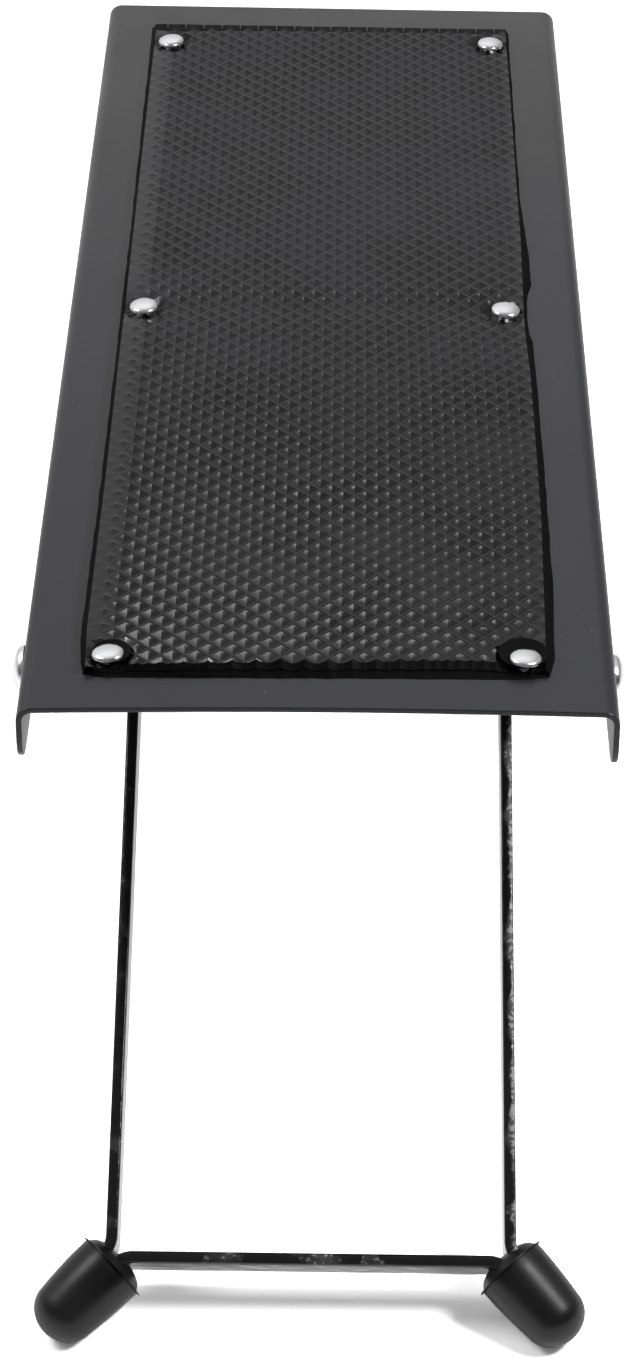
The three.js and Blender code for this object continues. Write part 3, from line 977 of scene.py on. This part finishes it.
    def line_hollows(self, piece: bpy.types.Object) -> None:
        """Joins a smooth bowl to the tread behind each near rivet, where its rubber is squashed;
        its faces later get the near-black cut rubber as painted shade.

        Args:
            piece: The tread.
        """
        floor = self.top - self.dimple_depth - self.seat_depth
        brim = self.top - self.dimple_depth - self.hollow_rounding / 2
        bowls = []
        for side in Side:
            middle, radius = self.hollow_beside(side)
            bowl = turned(f"rivet_bowl_{side.word}", [
                (radius - self.hollow_lip, floor - self.hollow_wall),
                (radius - self.hollow_rounding, brim - self.hollow_wall),
                (radius, brim - self.hollow_rounding / 2),
                (radius - self.hollow_rounding, brim),
                (radius - self.hollow_lip, floor + self.hollow_rounding),
            ], self.hollow_segments)
            smoothed(bowl, self.hollow_smoothing)
            placed(bowl, Matrix.Translation((middle.x, middle.y, 0)))
            bowls.append(bowl)
        only(piece)
        for bowl in bowls:
            bowl.select_set(True)
        bpy.ops.object.join()

    def pull_down(self, piece: bpy.types.Object, half_width: float) -> None:
        """Narrows the tread to its cut, fades its relief, and dimples, folds and waves it.

        It also writes the attribute named shade, the painted shade: darker towards the near end and
        in a ring round each rivet's head.

        Args:
            piece: The flat field of pyramids.
            half_width: Half the field's width.
        """
        rivets = [middle_of(row.rivet(side)).xy for row in Row for side in Side]
        fold_line = (rivets[2].y + rivets[3].y) / 2 + self.fold_beyond_rivets
        highest = max(vertex.co.z for vertex in piece.data.vertices)
        level = highest - self.relief_level_share * self.pyramid_height
        hollows = {side: self.hollow_beside(side) for side in Side}
        shades = []
        for vertex in piece.data.vertices:
            co = vertex.co
            side = Side.of(co.x)
            along = (co.y - self.plate_near) / MM
            rim = self.rim(side, along)
            co.x *= rim / half_width
            near = self.plate_near + self.near_margin + self.near_slant * co.x
            pull = max(0.0, 1 - (co.y - near) / self.near_pull_reach)
            co.y += (self.near_rim(co.x) - near) * pull
            least, gain = self.faint_shares[side]
            relief = min(1.0, least + gain * (rim - abs(co.x)) / self.faint_edge)
            co.z = level + (co.z - level) * relief
            spot = co.xy
            closest = min(rivets, key=lambda rivet: (spot - rivet).length)
            nearest = (spot - closest).length
            if closest in rivets[:2]:
                middle, radius = hollows[side]
                nearest = min(nearest, (spot - middle).length - radius + self.seat_outer)
            dimple = self.dimple_depth * math.exp(-(nearest / self.dimple_reach) ** 2)
            seat = self.seat_depth * faded(nearest, self.seat_inner, self.seat_outer)
            fold = self.fold_depth * math.exp(-((co.y - fold_line) / self.fold_reach) ** 2)
            wave = self.wave_height * noise.noise(
                Vector((co.x / self.wave_width, co.y / self.wave_length, self.wave_slice)))
            co.z += wave - dimple - seat - fold
            # Painted shade: a dark ring round each rivet's head, where the rubber sinks round it.
            ring = faded(nearest, self.shade_inner, self.shade_outer)
            # Painted shade: darker rubber towards the near end, or the dark ring round a rivet,
            # whichever is darker.
            shades.append(max(between(self.painted_shade_line, along), ring))
        attribute = piece.data.attributes.new("shade", "FLOAT", "POINT")
        attribute.data.foreach_set("value", shades)

    def wall(self, piece: bpy.types.Object) -> None:
        """Draws the cut's slanting wall down to the plate and closes the tread below.

        Args:
            piece: The field of pyramids, open all round.
        """
        with editing(piece, "EDGE"):
            pick("EDGE", lambda edge: edge.is_boundary)
            for share, lean in self.wall_steps:
                bpy.ops.mesh.extrude_region_move(TRANSFORM_OT_translate={"value": (0, 0, 0)})
                mesh = bmesh.from_edit_mesh(piece.data)
                for vertex in mesh.verts:
                    if vertex.select:
                        self.lower(vertex, share, lean)
                bmesh.update_edit_mesh(piece.data)
            bpy.ops.mesh.edge_face_add()

    def lower(self, vertex: bmesh.types.BMVert, share: float, lean: float) -> None:
        """Moves one point of the wall down and outwards.

        Args:
            vertex: The point.
            share: How far down it goes, from 0 to 1.
            lean: How far it goes towards the cut's lower line, from 0 to 1.
        """
        co = vertex.co
        along = (co.y - self.plate_near) / MM
        side = Side.of(co.x)
        rim, foot = self.rim(side, along), self.foot(side, along)
        rough = self.wall_roughness * noise.noise(
            Vector((co.x, co.y, share * self.wall_bump_rise)) / self.wall_bump)
        if abs(abs(co.x) - rim) < self.rim_reach:
            co.x = side.value * (rim + (foot - rim) * lean + rough)
        near_rim, near_foot = self.near_rim(co.x), self.near_foot(co.x)
        if co.y < near_rim + self.near_reach:
            co.y = near_rim + (near_foot - near_rim) * lean + rough
        # The far points are laid out as the low far strip, a painted shadow along the far edge.
        elif co.y > self.far - self.far_reach:
            strip = self.far_shadow_strip - self.far_skew * co.x
            co.y = self.far + strip + self.far_slope * lean + rough
            co.z = min(co.z, self.bottom + self.shadow_strip_height)
        co.z = self.bottom + (co.z - self.bottom) * (1 - share)

    def finish_cut(self, piece: bpy.types.Object, material: bpy.types.Material) -> None:
        """Gives the knife-cut wall, the far strip and the near rivets' bowls their own near-black
        material: matte cut rubber on the wall, darkened as painted shade, and painted shadow on the
        far strip and in the bowls.

        Args:
            piece: The tread, already dressed in its moulded rubber.
            material: The cut rubber, near-black as painted shade and painted shadow.
        """
        piece.data.materials.append(material)
        outside = []
        for vertex in piece.data.vertices:
            co = vertex.co
            rim = self.rim(Side.of(co.x), (co.y - self.plate_near) / MM)
            outside.append(
                abs(co.x) > rim - self.cut_slack
                or co.y < self.near_rim(co.x) + self.cut_slack
                or co.y > self.far - self.cut_slack)
        hollows = [self.hollow_beside(side) for side in Side]
        for polygon in piece.data.polygons:
            # The near rivets' bowls and the far strip get the near-black rubber as painted shadow.
            sunk = any((polygon.center.xy - middle).length < radius for middle, radius in hollows)
            in_shadow_strip = polygon.center.y > self.far + self.groove
            if sunk or in_shadow_strip or all(outside[index] for index in polygon.vertices):
                polygon.material_index = 1


@dataclass
class DomedRivet:
    """A solid rivet: a low domed head with a thin rolled brim, its shank and its spread tail."""

    head_diameter: float
    head_height: float
    shank_diameter: float
    tail_diameter: float
    tail_height: float
    length: float
    segments: int = 40
    arc_steps: int = 7
    brim_share: float = 0.22
    brim_rings: tuple[tuple[float, float], ...] = ((0.96, 0.0), (1.0, 0.35), (0.985, 1.0))
    dome_share: float = 0.985
    dome_power: float = 0.9
    crown_share: float = 0.04
    tail_rings: tuple[tuple[float, float], ...] = (
        (0.55, 1.0), (0.85, 0.8), (1.0, 0.4), (1.0, 0.0))
    smoothing: float = 40

    def build(self, name: str) -> bpy.types.Object:
        """Turns the rivet upright, with the underside of its head at height 0.

        Args:
            name: The piece's name.

        Returns:
            The rivet, head up.
        """
        head, tail = self.head_diameter / 2, self.tail_diameter / 2
        brim = self.brim_share * self.head_height
        rings = [(share * tail, -self.length - drop * self.tail_height)
                 for share, drop in self.tail_rings]
        rings += [(self.shank_diameter / 2, -self.length), (self.shank_diameter / 2, 0)]
        rings += [(share * head, rise * brim) for share, rise in self.brim_rings]
        for step in range(1, self.arc_steps):
            turn = math.pi / 2 * step / self.arc_steps
            rings.append((self.dome_share * head * math.cos(turn) ** self.dome_power,
                          brim + (self.head_height - brim) * math.sin(turn)))
        rings.append((self.crown_share * head, self.head_height))
        piece = turned(name, rings, self.segments)
        smoothed(piece, self.smoothing)
        return piece


def facing(direction: Vector, place: Vector, turn: float = 0.0) -> Matrix:
    """Makes the place of a round piece whose top faces a direction.

    Args:
        direction: Where its top faces.
        place: Where its origin goes.
        turn: How far it is turned about its own axis, in radians.

    Returns:
        The place.
    """
    aim = direction.to_track_quat("Z", "Y").to_matrix().to_4x4()
    return Matrix.Translation(place) @ aim @ Matrix.Rotation(turn, 4, "Z")


@dataclass
class CrosswiseRivet:
    """A pair of rivets that lie across the footrest, one on each side, with their heads outside.

    The real hinge rivets sit a little nearer than their axis, and the right one stands wider.
    """

    body: str
    node: str
    head_diameter: float
    head_seat: float
    head_height: float
    tail_diameter: float = 7 * MM
    tail_height: float = 1.2 * MM
    shank_diameter: float = 4.4 * MM
    nearer: dict[Side, float] = field(default_factory=lambda: dict.fromkeys(Side, 0.0))
    wider: dict[Side, float] = field(default_factory=lambda: dict.fromkeys(Side, 0.0))

    def build(self) -> None:
        """Heads the rivet on both sides."""
        for side in Side:
            node = f"{self.node}_{side.word}"
            low, high = corners(node)
            length = high.x - low.x - self.head_seat - self.tail_height
            rivet = DomedRivet(self.head_diameter, self.head_height, self.shank_diameter,
                               self.tail_diameter, self.tail_height, length)
            piece = rivet.build(f"{self.node}_head_{side.word}")
            outside = high.x if side is Side.RIGHT else low.x
            seat = middle_of(node)
            seat.x = outside + side.value * (self.wider[side] - self.head_seat)
            seat.y -= self.nearer[side]
            placed(piece, facing(Vector((side.value, 0, 0)), seat))
            dressed(piece, BRIGHT_RIVET, self.body, [node])


@dataclass
class Rivets:
    """All rivets: six through the tread, two at the hinge and two where the legs cross."""

    head_height: float = 1.3 * MM
    head_seat: float = 1.6 * MM
    shank_diameter: float = 4 * MM
    tail_diameter: float = 5.4 * MM
    tail_height: float = 0.6 * MM
    length: float = 3 * MM
    tilt: float = math.radians(3)
    near_back_tilt: float = math.radians(6)
    far_back_tilt: float = math.radians(1.2)
    twist: float = 1.1

    def build(self) -> None:
        """Heads every rivet where its node is."""
        self.through_tread()
        for pair in (
            CrosswiseRivet("plate", "hinge_rivet", 9.2 * MM, 1.6 * MM, 2.2 * MM,
                           nearer={Side.LEFT: 0.6 * MM, Side.RIGHT: 1.3 * MM},
                           wider={Side.LEFT: 0.0, Side.RIGHT: 0.5 * MM}),
            CrosswiseRivet("outer_frame", "cross_rivet", 7.5 * MM, 1.3 * MM, 1.6 * MM),
        ):
            pair.build()

    def through_tread(self) -> None:
        """Heads the six rivets through the tread, each a little tilted by the rubber."""
        places = [(row, side) for row in Row for side in Side]
        for count, (row, side) in enumerate(places):
            node = row.rivet(side)
            low, high = corners(node)
            rivet = DomedRivet(high.x - low.x, self.head_height, self.shank_diameter,
                               self.tail_diameter, self.tail_height, self.length)
            piece = rivet.build(f"tread_rivet_head_{row.value}_{side.word}")
            seat = middle_of(node)
            seat.z = high.z - self.head_seat
            back = self.near_back_tilt if row is Row.NEAR else self.far_back_tilt
            lean = Vector((side.value * math.sin(self.tilt), math.sin(back), 1))
            placed(piece, facing(lean, seat, count * self.twist))
            dressed(piece, BRIGHT_RIVET, "plate", [node])


class Leg(Enum):
    """The two legs: the outer one hinges on the flanges, the inner one hangs from the rod."""

    OUTER = "outer"
    INNER = "inner"


@dataclass
class StrapLeg:
    """A leg: one strap bent into a U whose corners are folded into ears for the rubber feet."""

    leg: Leg
    top_half_width: float
    corner_half_width: float
    length: float
    pivot: Vector
    tilt: float
    lean: float = 0.0
    width: float = 11.8 * MM
    thickness: float = 2.5 * MM
    bend_radius: float = 5.5 * MM
    ear_length: float = 9 * MM
    ear_gap: float = 0.5 * MM
    bend_segments: int = 8
    end_rounding_share: float = 0.495
    edge_rounding: float = 0.5 * MM
    edge_segments: int = 3
    doubled: float = 0.02 * MM
    span: float = 12 * MM
    edge_strip: float = 1.6 * MM
    worn_strip: float = 0.75 * MM
    right_wear: float = 1.75
    crossbar_wear: float = 1.1
    left_wear: float = 0.9

    @property
    def place(self) -> Matrix:
        """Where the leg's own axes lie: its top pivot at the origin, its crossbar along -Y."""
        return Matrix.Translation(self.pivot) @ Matrix.Rotation(self.tilt, 4, "X")

    @property
    def body(self) -> str:
        """The body that the leg is."""
        return f"{self.leg.value}_frame"

    def corner_line(self) -> tuple[list[Vector], list[float]]:
        """Works out the strap's middle line on the right side, with the radius of each bend.

        Returns:
            The line's corners from its top to its crossbar, and the radii of the four bends.
        """
        top = Vector((self.top_half_width, self.width / 2))
        corner = Vector((self.corner_half_width, -self.length))
        down = (corner - Vector((self.top_half_width, 0))).normalized()
        ear = Vector((1, -1)).normalized()
        up = Vector((1, 1)).normalized()
        offset = (self.thickness + self.ear_gap) / 2
        tip = corner + ear * self.ear_length
        upper, lower = tip + up * offset, tip - up * offset
        points = [top, meeting(corner, down, upper, ear), upper, lower,
                  meeting(lower, ear, corner, Vector((-1, 0)))]
        return points, [self.bend_radius, offset, offset, self.bend_radius]

    def build(self) -> bpy.types.Object:
        """Bends the strap, gives it its thickness and its worn edges, and puts it in its place.

        Returns:
            The strap.
        """
        bpy.ops.mesh.primitive_plane_add(size=self.width)
        piece = started(f"{self.leg.value}_strap")
        self.bend_strap(piece)
        modified(piece, "SOLIDIFY", {
            "thickness": self.thickness, "offset": 0, "use_even_offset": True})
        outward(piece)
        self.cut_spans(piece)
        eased(piece, self.edge_rounding, self.edge_segments)
        self.mark_wear(piece)
        for vertex in piece.data.vertices:
            vertex.co.x -= self.lean * vertex.co.y / self.length
        smoothed(piece)
        placed(piece, self.place)
        return piece

    def bend_strap(self, piece: bpy.types.Object) -> None:
        """Draws the middle line, bends it, raises it to the strap's width and rounds its ends.

        Args:
            piece: The face that the line starts from.
        """
        points, radii = self.corner_line()
        line = points + [Vector((-point.x, point.y)) for point in reversed(points)]
        bends = list(zip(points[1:], radii))
        bends += [(Vector((-point.x, point.y)), radius) for point, radius in bends]
        with editing(piece, "VERT"):
            bpy.ops.mesh.select_all(action="SELECT")
            bpy.ops.mesh.merge(type="CENTER")
            bpy.ops.transform.translate(value=(line[0].x, line[0].y, -self.width / 2))
            for here, there in zip(line, line[1:]):
                step = there - here
                bpy.ops.mesh.extrude_region_move(
                    TRANSFORM_OT_translate={"value": (step.x, step.y, 0)})
            for place, radius in bends:
                bpy.ops.mesh.select_all(action="DESELECT")
                pick("VERT", lambda vertex: (vertex.co.xy - place).length < SAME_PLACE)
                bpy.ops.mesh.bevel(
                    offset_type="OFFSET", offset=radius * self.half_turn(line, place),
                    segments=self.bend_segments, affect="VERTICES")
            bpy.ops.mesh.select_all(action="SELECT")
            bpy.ops.mesh.remove_doubles(threshold=self.doubled)
            bpy.ops.mesh.select_mode(type="EDGE")
            bpy.ops.mesh.select_all(action="SELECT")
            bpy.ops.mesh.extrude_region_move(
                TRANSFORM_OT_translate={"value": (0, 0, self.width)})
        outward(piece)
        with editing(piece, "VERT"):
            pick("VERT", lambda vertex: vertex.co.y > self.width / 2 - SAME_PLACE)
            bpy.ops.mesh.bevel(offset=self.end_rounding_share * self.width,
                               segments=self.bend_segments, affect="VERTICES")

    @staticmethod
    def half_turn(line: Sequence[Vector], place: Vector) -> float:
        """Works out how sharply a line turns at one of its corners.

        Args:
            line: The line's points.
            place: The corner.

        Returns:
            The tangent of half the angle by which it turns.
        """
        at = min(range(1, len(line) - 1), key=lambda i: (line[i] - place).length)
        into, out = line[at] - line[at - 1], line[at + 1] - line[at]
        return math.tan(into.angle(out) / 2)

    def cut_spans(self, piece: bpy.types.Object) -> None:
        """Cuts strips along the edges and spans along the runs, so that wear can follow them.

        Args:
            piece: The strap, before its edges are rounded.
        """
        inner = self.width / 2 - self.edge_strip
        with editing(piece, "FACE"):
            for height in (-inner, inner):
                bpy.ops.mesh.select_all(action="SELECT")
                bpy.ops.mesh.bisect(plane_co=(0, 0, height), plane_no=(0, 0, 1))
            for cut in range(1, int(self.length / self.span)):
                bpy.ops.mesh.select_all(action="SELECT")
                bpy.ops.mesh.bisect(plane_co=(0, -cut * self.span, 0), plane_no=(0, 1, 0))

    def mark_wear(self, piece: bpy.types.Object) -> None:
        """Writes the attribute that says where paint wears: along the strap's narrow edges.

        It wears most on the right side's outer edges and on the crossbar, which gets kicked.

        Args:
            piece: The strap.
        """
        wear = piece.data.attributes.new("wear", "FLOAT", "POINT")
        growth = self.corner_half_width - self.top_half_width
        for index, vertex in enumerate(piece.data.vertices):
            co = vertex.co
            value = self.left_wear
            if co.x > self.top_half_width - growth * co.y / self.length:
                value = self.right_wear
            elif co.y < self.bend_radius - self.length:
                value = self.crossbar_wear
            worn = abs(co.z) > self.width / 2 - self.worn_strip
            wear.data[index].value = value if worn else 0.0


def meeting(first: Vector, way: Vector, second: Vector, other_way: Vector) -> Vector:
    """Finds where two lines in a plane meet.

    Args:
        first: A point on the first line.
        way: Where the first line runs.
        second: A point on the second line.
        other_way: Where the second line runs.

    Returns:
        The point that both share.
    """
    return first + way * ((second - first).cross(other_way) / way.cross(other_way))


@dataclass
class RubberFoot:
    """A rubber foot: a moulded cap with a thin flash ring round its mouth and bulging lips."""

    strap: StrapLeg
    side: Side
    shift: tuple[float, float, float] = (0.0, 0.0, 0.0)
    turn: float = 0.0
    mouth_radius: float = 7.75 * MM
    shoulder_radius: float = 7 * MM
    lip_bulge: float = 2.9 * MM
    mouth_from_corner: float = 0.8 * MM
    taper_length: float = 13.4 * MM
    tip_length: float = 6.2 * MM
    flash: float = 0.65 * MM
    straight_length: float = 2.5 * MM
    lip_share: float = 0.93
    lip_power: float = 0.8
    lip_steps: int = 8
    lip_rings: tuple[tuple[float, float], ...] = ((0.95, -0.35 * MM), (0.97, -0.12 * MM))
    flash_bottom: float = -0.09 * MM
    flash_top: float = 0.05 * MM
    mouth_rings: tuple[tuple[float, float], ...] = ((0.99, 0.1 * MM), (1.0, 0.5 * MM))
    taper_steps: int = 7
    taper_power: float = 1.6
    tip_steps: int = 10
    tip_flat_share: float = 0.02
    segments: int = 64
    smoothing: float = 40

    def rings(self) -> list[tuple[float, float]]:
        """Lists the foot's rings from its lips, past its flash ring and its taper, to its tip.

        Returns:
            Radius and height of each ring.
        """
        radius, mouth = self.mouth_radius, self.mouth_from_corner
        straight, shoulder = mouth + self.straight_length, mouth + self.taper_length
        rings = []
        for step in range(1, self.lip_steps):
            turn = math.pi / 2 * step / self.lip_steps
            rings.append((self.lip_share * radius * math.sin(turn) ** self.lip_power,
                          mouth - self.lip_bulge * math.cos(turn)))
        rings += [(share * radius, mouth + rise) for share, rise in self.lip_rings]
        rings += [(radius + self.flash, mouth + rise)
                  for rise in (self.flash_bottom, self.flash_top)]
        rings += [(share * radius, mouth + rise) for share, rise in self.mouth_rings]
        for step in range(self.taper_steps):
            share = step / self.taper_steps
            rings.append((radius + (self.shoulder_radius - radius) * share ** self.taper_power,
                          straight + (shoulder - straight) * share))
        for step in range(self.tip_steps):
            turn = math.pi / 2 * step / self.tip_steps
            rings.append((self.shoulder_radius * math.cos(turn),
                          shoulder + self.tip_length * math.sin(turn)))
        rings.append((self.tip_flat_share * radius, shoulder + self.tip_length))
        return rings

    def build(self) -> bpy.types.Object:
        """Turns the foot and pushes it over the strap's ear.

        Returns:
            The foot, in its place.
        """
        piece = turned(f"{self.strap.leg.value}_rubber_foot_{self.side.word}",
                       self.rings(), self.segments)
        smoothed(piece, self.smoothing)
        out = self.side.value
        axis = Vector((out, -1, 0)).normalized()
        up = Vector((out, 1, 0)).normalized()
        across = axis.cross(up)
        aim = Matrix((up, across, axis)).transposed().to_4x4()
        corner = Vector((out * self.strap.corner_half_width + self.strap.lean + self.shift[0],
                         self.shift[1] - self.strap.length, self.shift[2]))
        spin = Matrix.Rotation(self.turn, 4, "Z")
        placed(piece, self.strap.place @ Matrix.Translation(corner) @ spin @ aim)
        return piece


@dataclass
class Legs:
    """Both legs with their feet, and the sleeves and rod that hold them."""

    outer_strap_x: float = 51.05 * MM
    spacing_at_rod: float = 11 * MM
    spacing_at_corner: float = 9.1 * MM
    angle: float = math.radians(36)
    outer_above_cross: float = 119.9 * MM
    below_cross: float = 132 * MM
    rod_drop: float = 2 * MM
    inner_lean: float = -0.5 * MM
    sleeve_rounding: float = 0.2 * MM
    washer_rounding: float = 0.15 * MM
    rod_rounding: float = 0.25 * MM
    foot_settling: dict[tuple[Leg, Side], tuple[tuple[float, float, float], float]] = field(
        default_factory=lambda: {
            (Leg.OUTER, Side.LEFT): ((0.0, 0.0, -0.13 * MM), 1.0),
            (Leg.OUTER, Side.RIGHT): ((0.0, 0.0, -0.13 * MM), -1.0),
            (Leg.INNER, Side.LEFT): ((0.5 * MM, -0.85 * MM, 0.62 * MM), 0.0),
            (Leg.INNER, Side.RIGHT): ((-0.3 * MM, 0.0, 0.36 * MM), -3.0),
        })

    def build(self) -> None:
        """Builds the legs and everything that turns with them."""
        hinge = Vector(frame["joints"][0]["pos_m"])
        inner_above_cross = self.outer_above_cross - self.rod_drop / math.sin(self.angle)
        for strap in (
            StrapLeg(Leg.OUTER, self.outer_strap_x, self.outer_strap_x,
                     self.outer_above_cross + self.below_cross, hinge, math.pi - self.angle),
            StrapLeg(Leg.INNER, self.outer_strap_x - self.spacing_at_rod,
                     self.outer_strap_x - self.spacing_at_corner,
                     inner_above_cross + self.below_cross, middle_of("height_rod"), self.angle,
                     self.inner_lean),
        ):
            name = strap.leg.value
            dressed(strap.build(), STRAP_PAINT, strap.body, [f"{name}_leg"])
            for side in Side:
                shift, turn = self.foot_settling[strap.leg, side]
                foot = RubberFoot(strap, side, shift, math.radians(turn)).build()
                dressed(foot, FOOT_RUBBER, strap.body, [f"{name}_foot_{side.word}"])
        for side in Side:
            sleeve = refined(f"cross_sleeve_{side.word}", f"spacer_sleeve_{side.word}",
                             self.sleeve_rounding)
            dressed(sleeve, ZINC_STEEL, "outer_frame", [f"cross_sleeve_{side.word}"])
            washer = refined(f"hinge_washer_{side.word}", f"thick_washer_{side.word}",
                             self.washer_rounding)
            dressed(washer, ZINC_STEEL, "plate", [f"hinge_washer_{side.word}"])
        bar = refined("height_rod", "height_bar", self.rod_rounding)
        dressed(bar, ZINC_STEEL, "inner_frame", ["height_rod"])


@dataclass
class Platform:
    """The plate with its tread and the notched rails under it."""

    rail_rounding: float = 0.25 * MM

    def build(self) -> None:
        """Builds everything that is fixed to the plate, apart from its rivets."""
        sheet = PlateSheet()
        piece = dressed(sheet.build(), POWDER_COAT, "plate", ["foot_plate"])
        sheet.darken_ends(piece, SHEARED_COAT.material())
        tread = Tread()
        piece = dressed(tread.build(), TREAD_RUBBER, "plate", ["rubber_tread"])
        tread.finish_cut(piece, CUT_RUBBER_AND_PAINTED_SHADE.material())
        for side in Side:
            rail = refined(
                f"notched_rail_{side.word}", f"pressed_rail_{side.word}", self.rail_rounding)
            dressed(rail, POWDER_COAT, "plate", [f"notched_rail_{side.word}"])


@dataclass(frozen=True)
class Softbox:
    """A square soft lamp."""

    name: str
    place: tuple[float, float, float]
    size: float
    power: float

    def hang(self, aim: Vector) -> None:
        """Hangs the lamp, out of the camera's sight.

        Args:
            aim: What it is turned to.
        """
        bpy.ops.object.light_add(type="AREA", location=self.place)
        lamp = bpy.context.active_object
        lamp.name = self.name
        lamp.data.shape = "SQUARE"
        lamp.data.size = self.size
        lamp.data.energy = self.power
        lamp.visible_camera = False
        lamp.rotation_euler = (aim - Vector(self.place)).to_track_quat("-Z", "Y").to_euler()


@dataclass
class Studio:
    """The white floor, the soft light and the camera of the photograph.

    The room's light varies along each axis of its direction, from one place to another, between
    a first and a last share.
    """

    camera_from_near_end: Vector = field(
        default_factory=lambda: Vector((5.1871, -512.6192, 386.0798)) * MM)
    tilt: float = 36.5158
    yaw: float = -0.2272
    roll: float = 0.8249
    focal_pixels: float = 3528.5792
    sensor: float = 36.0
    farthest_seen: float = 20.0
    floor_size: float = 8.0
    paper_roughness: float = 0.9
    paper_colour: str = "#d0d0d0"
    paper_seen: float = 2.7
    paper_mirrored: float = 1.4
    room_light: tuple[tuple[str, float, float, float, float], ...] = (
        ("Y", -0.35, 0.45, 0.2, 0.95), ("X", 0.1, 0.5, 1.0, 0.5), ("Z", 0.3, 0.75, 0.68, 1.0))
    lamp_aim: Vector = field(default_factory=lambda: Vector((0, -0.1, 0.08)))
    softboxes: tuple[Softbox, ...] = (
        Softbox("left_softbox", (-0.38, -0.07, 0.51), 0.2, 0.84),
        Softbox("right_spot", (0.295, -0.205, 0.447), 0.12, 1.5),
    )

    def build(self) -> None:
        """Sets up the floor, the world, the lamps and the camera."""
        self.floor()
        self.world()
        for softbox in self.softboxes:
            softbox.hang(self.lamp_aim)
        self.camera()
        bpy.context.scene.view_settings.view_transform = "Standard"

    def camera(self) -> None:
        """Puts the camera where the plate's outline in the photograph was seen from."""
        low, high = corners("foot_plate")
        place = Vector((0, low.y, high.z)) + self.camera_from_near_end
        bpy.ops.object.camera_add(
            location=place,
            rotation=(math.radians(90 - self.tilt), math.radians(self.yaw),
                      math.radians(self.roll)))
        camera = bpy.context.active_object
        camera.name = "portrait_camera"
        camera.data.sensor_width = self.sensor
        camera.data.lens = self.focal_pixels * self.sensor / IMAGE_HEIGHT
        camera.data.clip_end = self.farthest_seen
        bpy.context.scene.camera = camera

    def floor(self) -> None:
        """Lays a floor that shows white to the camera and keeps the footrest's shadow."""
        bpy.ops.mesh.primitive_plane_add(size=self.floor_size)
        floor = started("studio_floor")
        material = bpy.data.materials.new("white_paper")
        material.use_nodes = True
        tree = material.node_tree
        rays = add_node(tree, "ShaderNodeLightPath")
        mirrored = add_node(tree, "ShaderNodeMath", {"operation": "MAXIMUM"}, {
            0: rays.outputs["Is Glossy Ray"], 1: rays.outputs["Is Transmission Ray"]})
        paper = add_node(tree, "ShaderNodeMix", {"data_type": "RGBA"}, {
            0: mirrored.outputs[0], 6: linear(self.paper_colour), 7: grey(self.paper_mirrored)})
        colour = add_node(tree, "ShaderNodeMix", {"data_type": "RGBA"}, {
            0: rays.outputs["Is Camera Ray"], 6: paper.outputs[2], 7: grey(self.paper_seen)})
        connect(tree, tree.nodes["Principled BSDF"], {
            "Base Color": colour.outputs[2],
            "Roughness": self.paper_roughness,
            "Specular IOR Level": 0.0,
        })
        floor.data.materials.append(material)

    def world(self) -> None:
        """Surrounds the footrest with a pale room that is darker on the camera's side."""
        world = bpy.data.worlds.new("studio")
        bpy.context.scene.world = world
        world.use_nodes = True
        tree = world.node_tree
        way = add_node(tree, "ShaderNodeTexCoord").outputs["Generated"]
        split = add_node(tree, "ShaderNodeSeparateXYZ", {}, {"Vector": way})
        light = 1.0
        for axis, least, most, first, last in self.room_light:
            share = add_node(tree, "ShaderNodeMapRange", {}, {
                "Value": split.outputs[axis], "From Min": least, "From Max": most,
                "To Min": first, "To Max": last})
            light = add_node(tree, "ShaderNodeMath", {"operation": "MULTIPLY"}, {
                0: light, 1: share.outputs["Result"]}).outputs[0]
        room = add_node(tree, "ShaderNodeCombineColor", {}, {0: light, 1: light, 2: light})
        rays = add_node(tree, "ShaderNodeLightPath")
        colour = add_node(tree, "ShaderNodeMix", {"data_type": "RGBA"}, {
            0: rays.outputs["Is Camera Ray"], 6: room.outputs["Color"], 7: grey(1.0)})
        connect(tree, tree.nodes["Background"], {"Color": colour.outputs[2]})


def main() -> None:
    """Builds the footrest and its studio."""
    logging.basicConfig(level=logging.INFO, format="%(name)s: %(message)s")
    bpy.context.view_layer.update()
    Platform().build()
    Rivets().build()
    Legs().build()
    Studio().build()


if __name__ == "__main__":
    main()
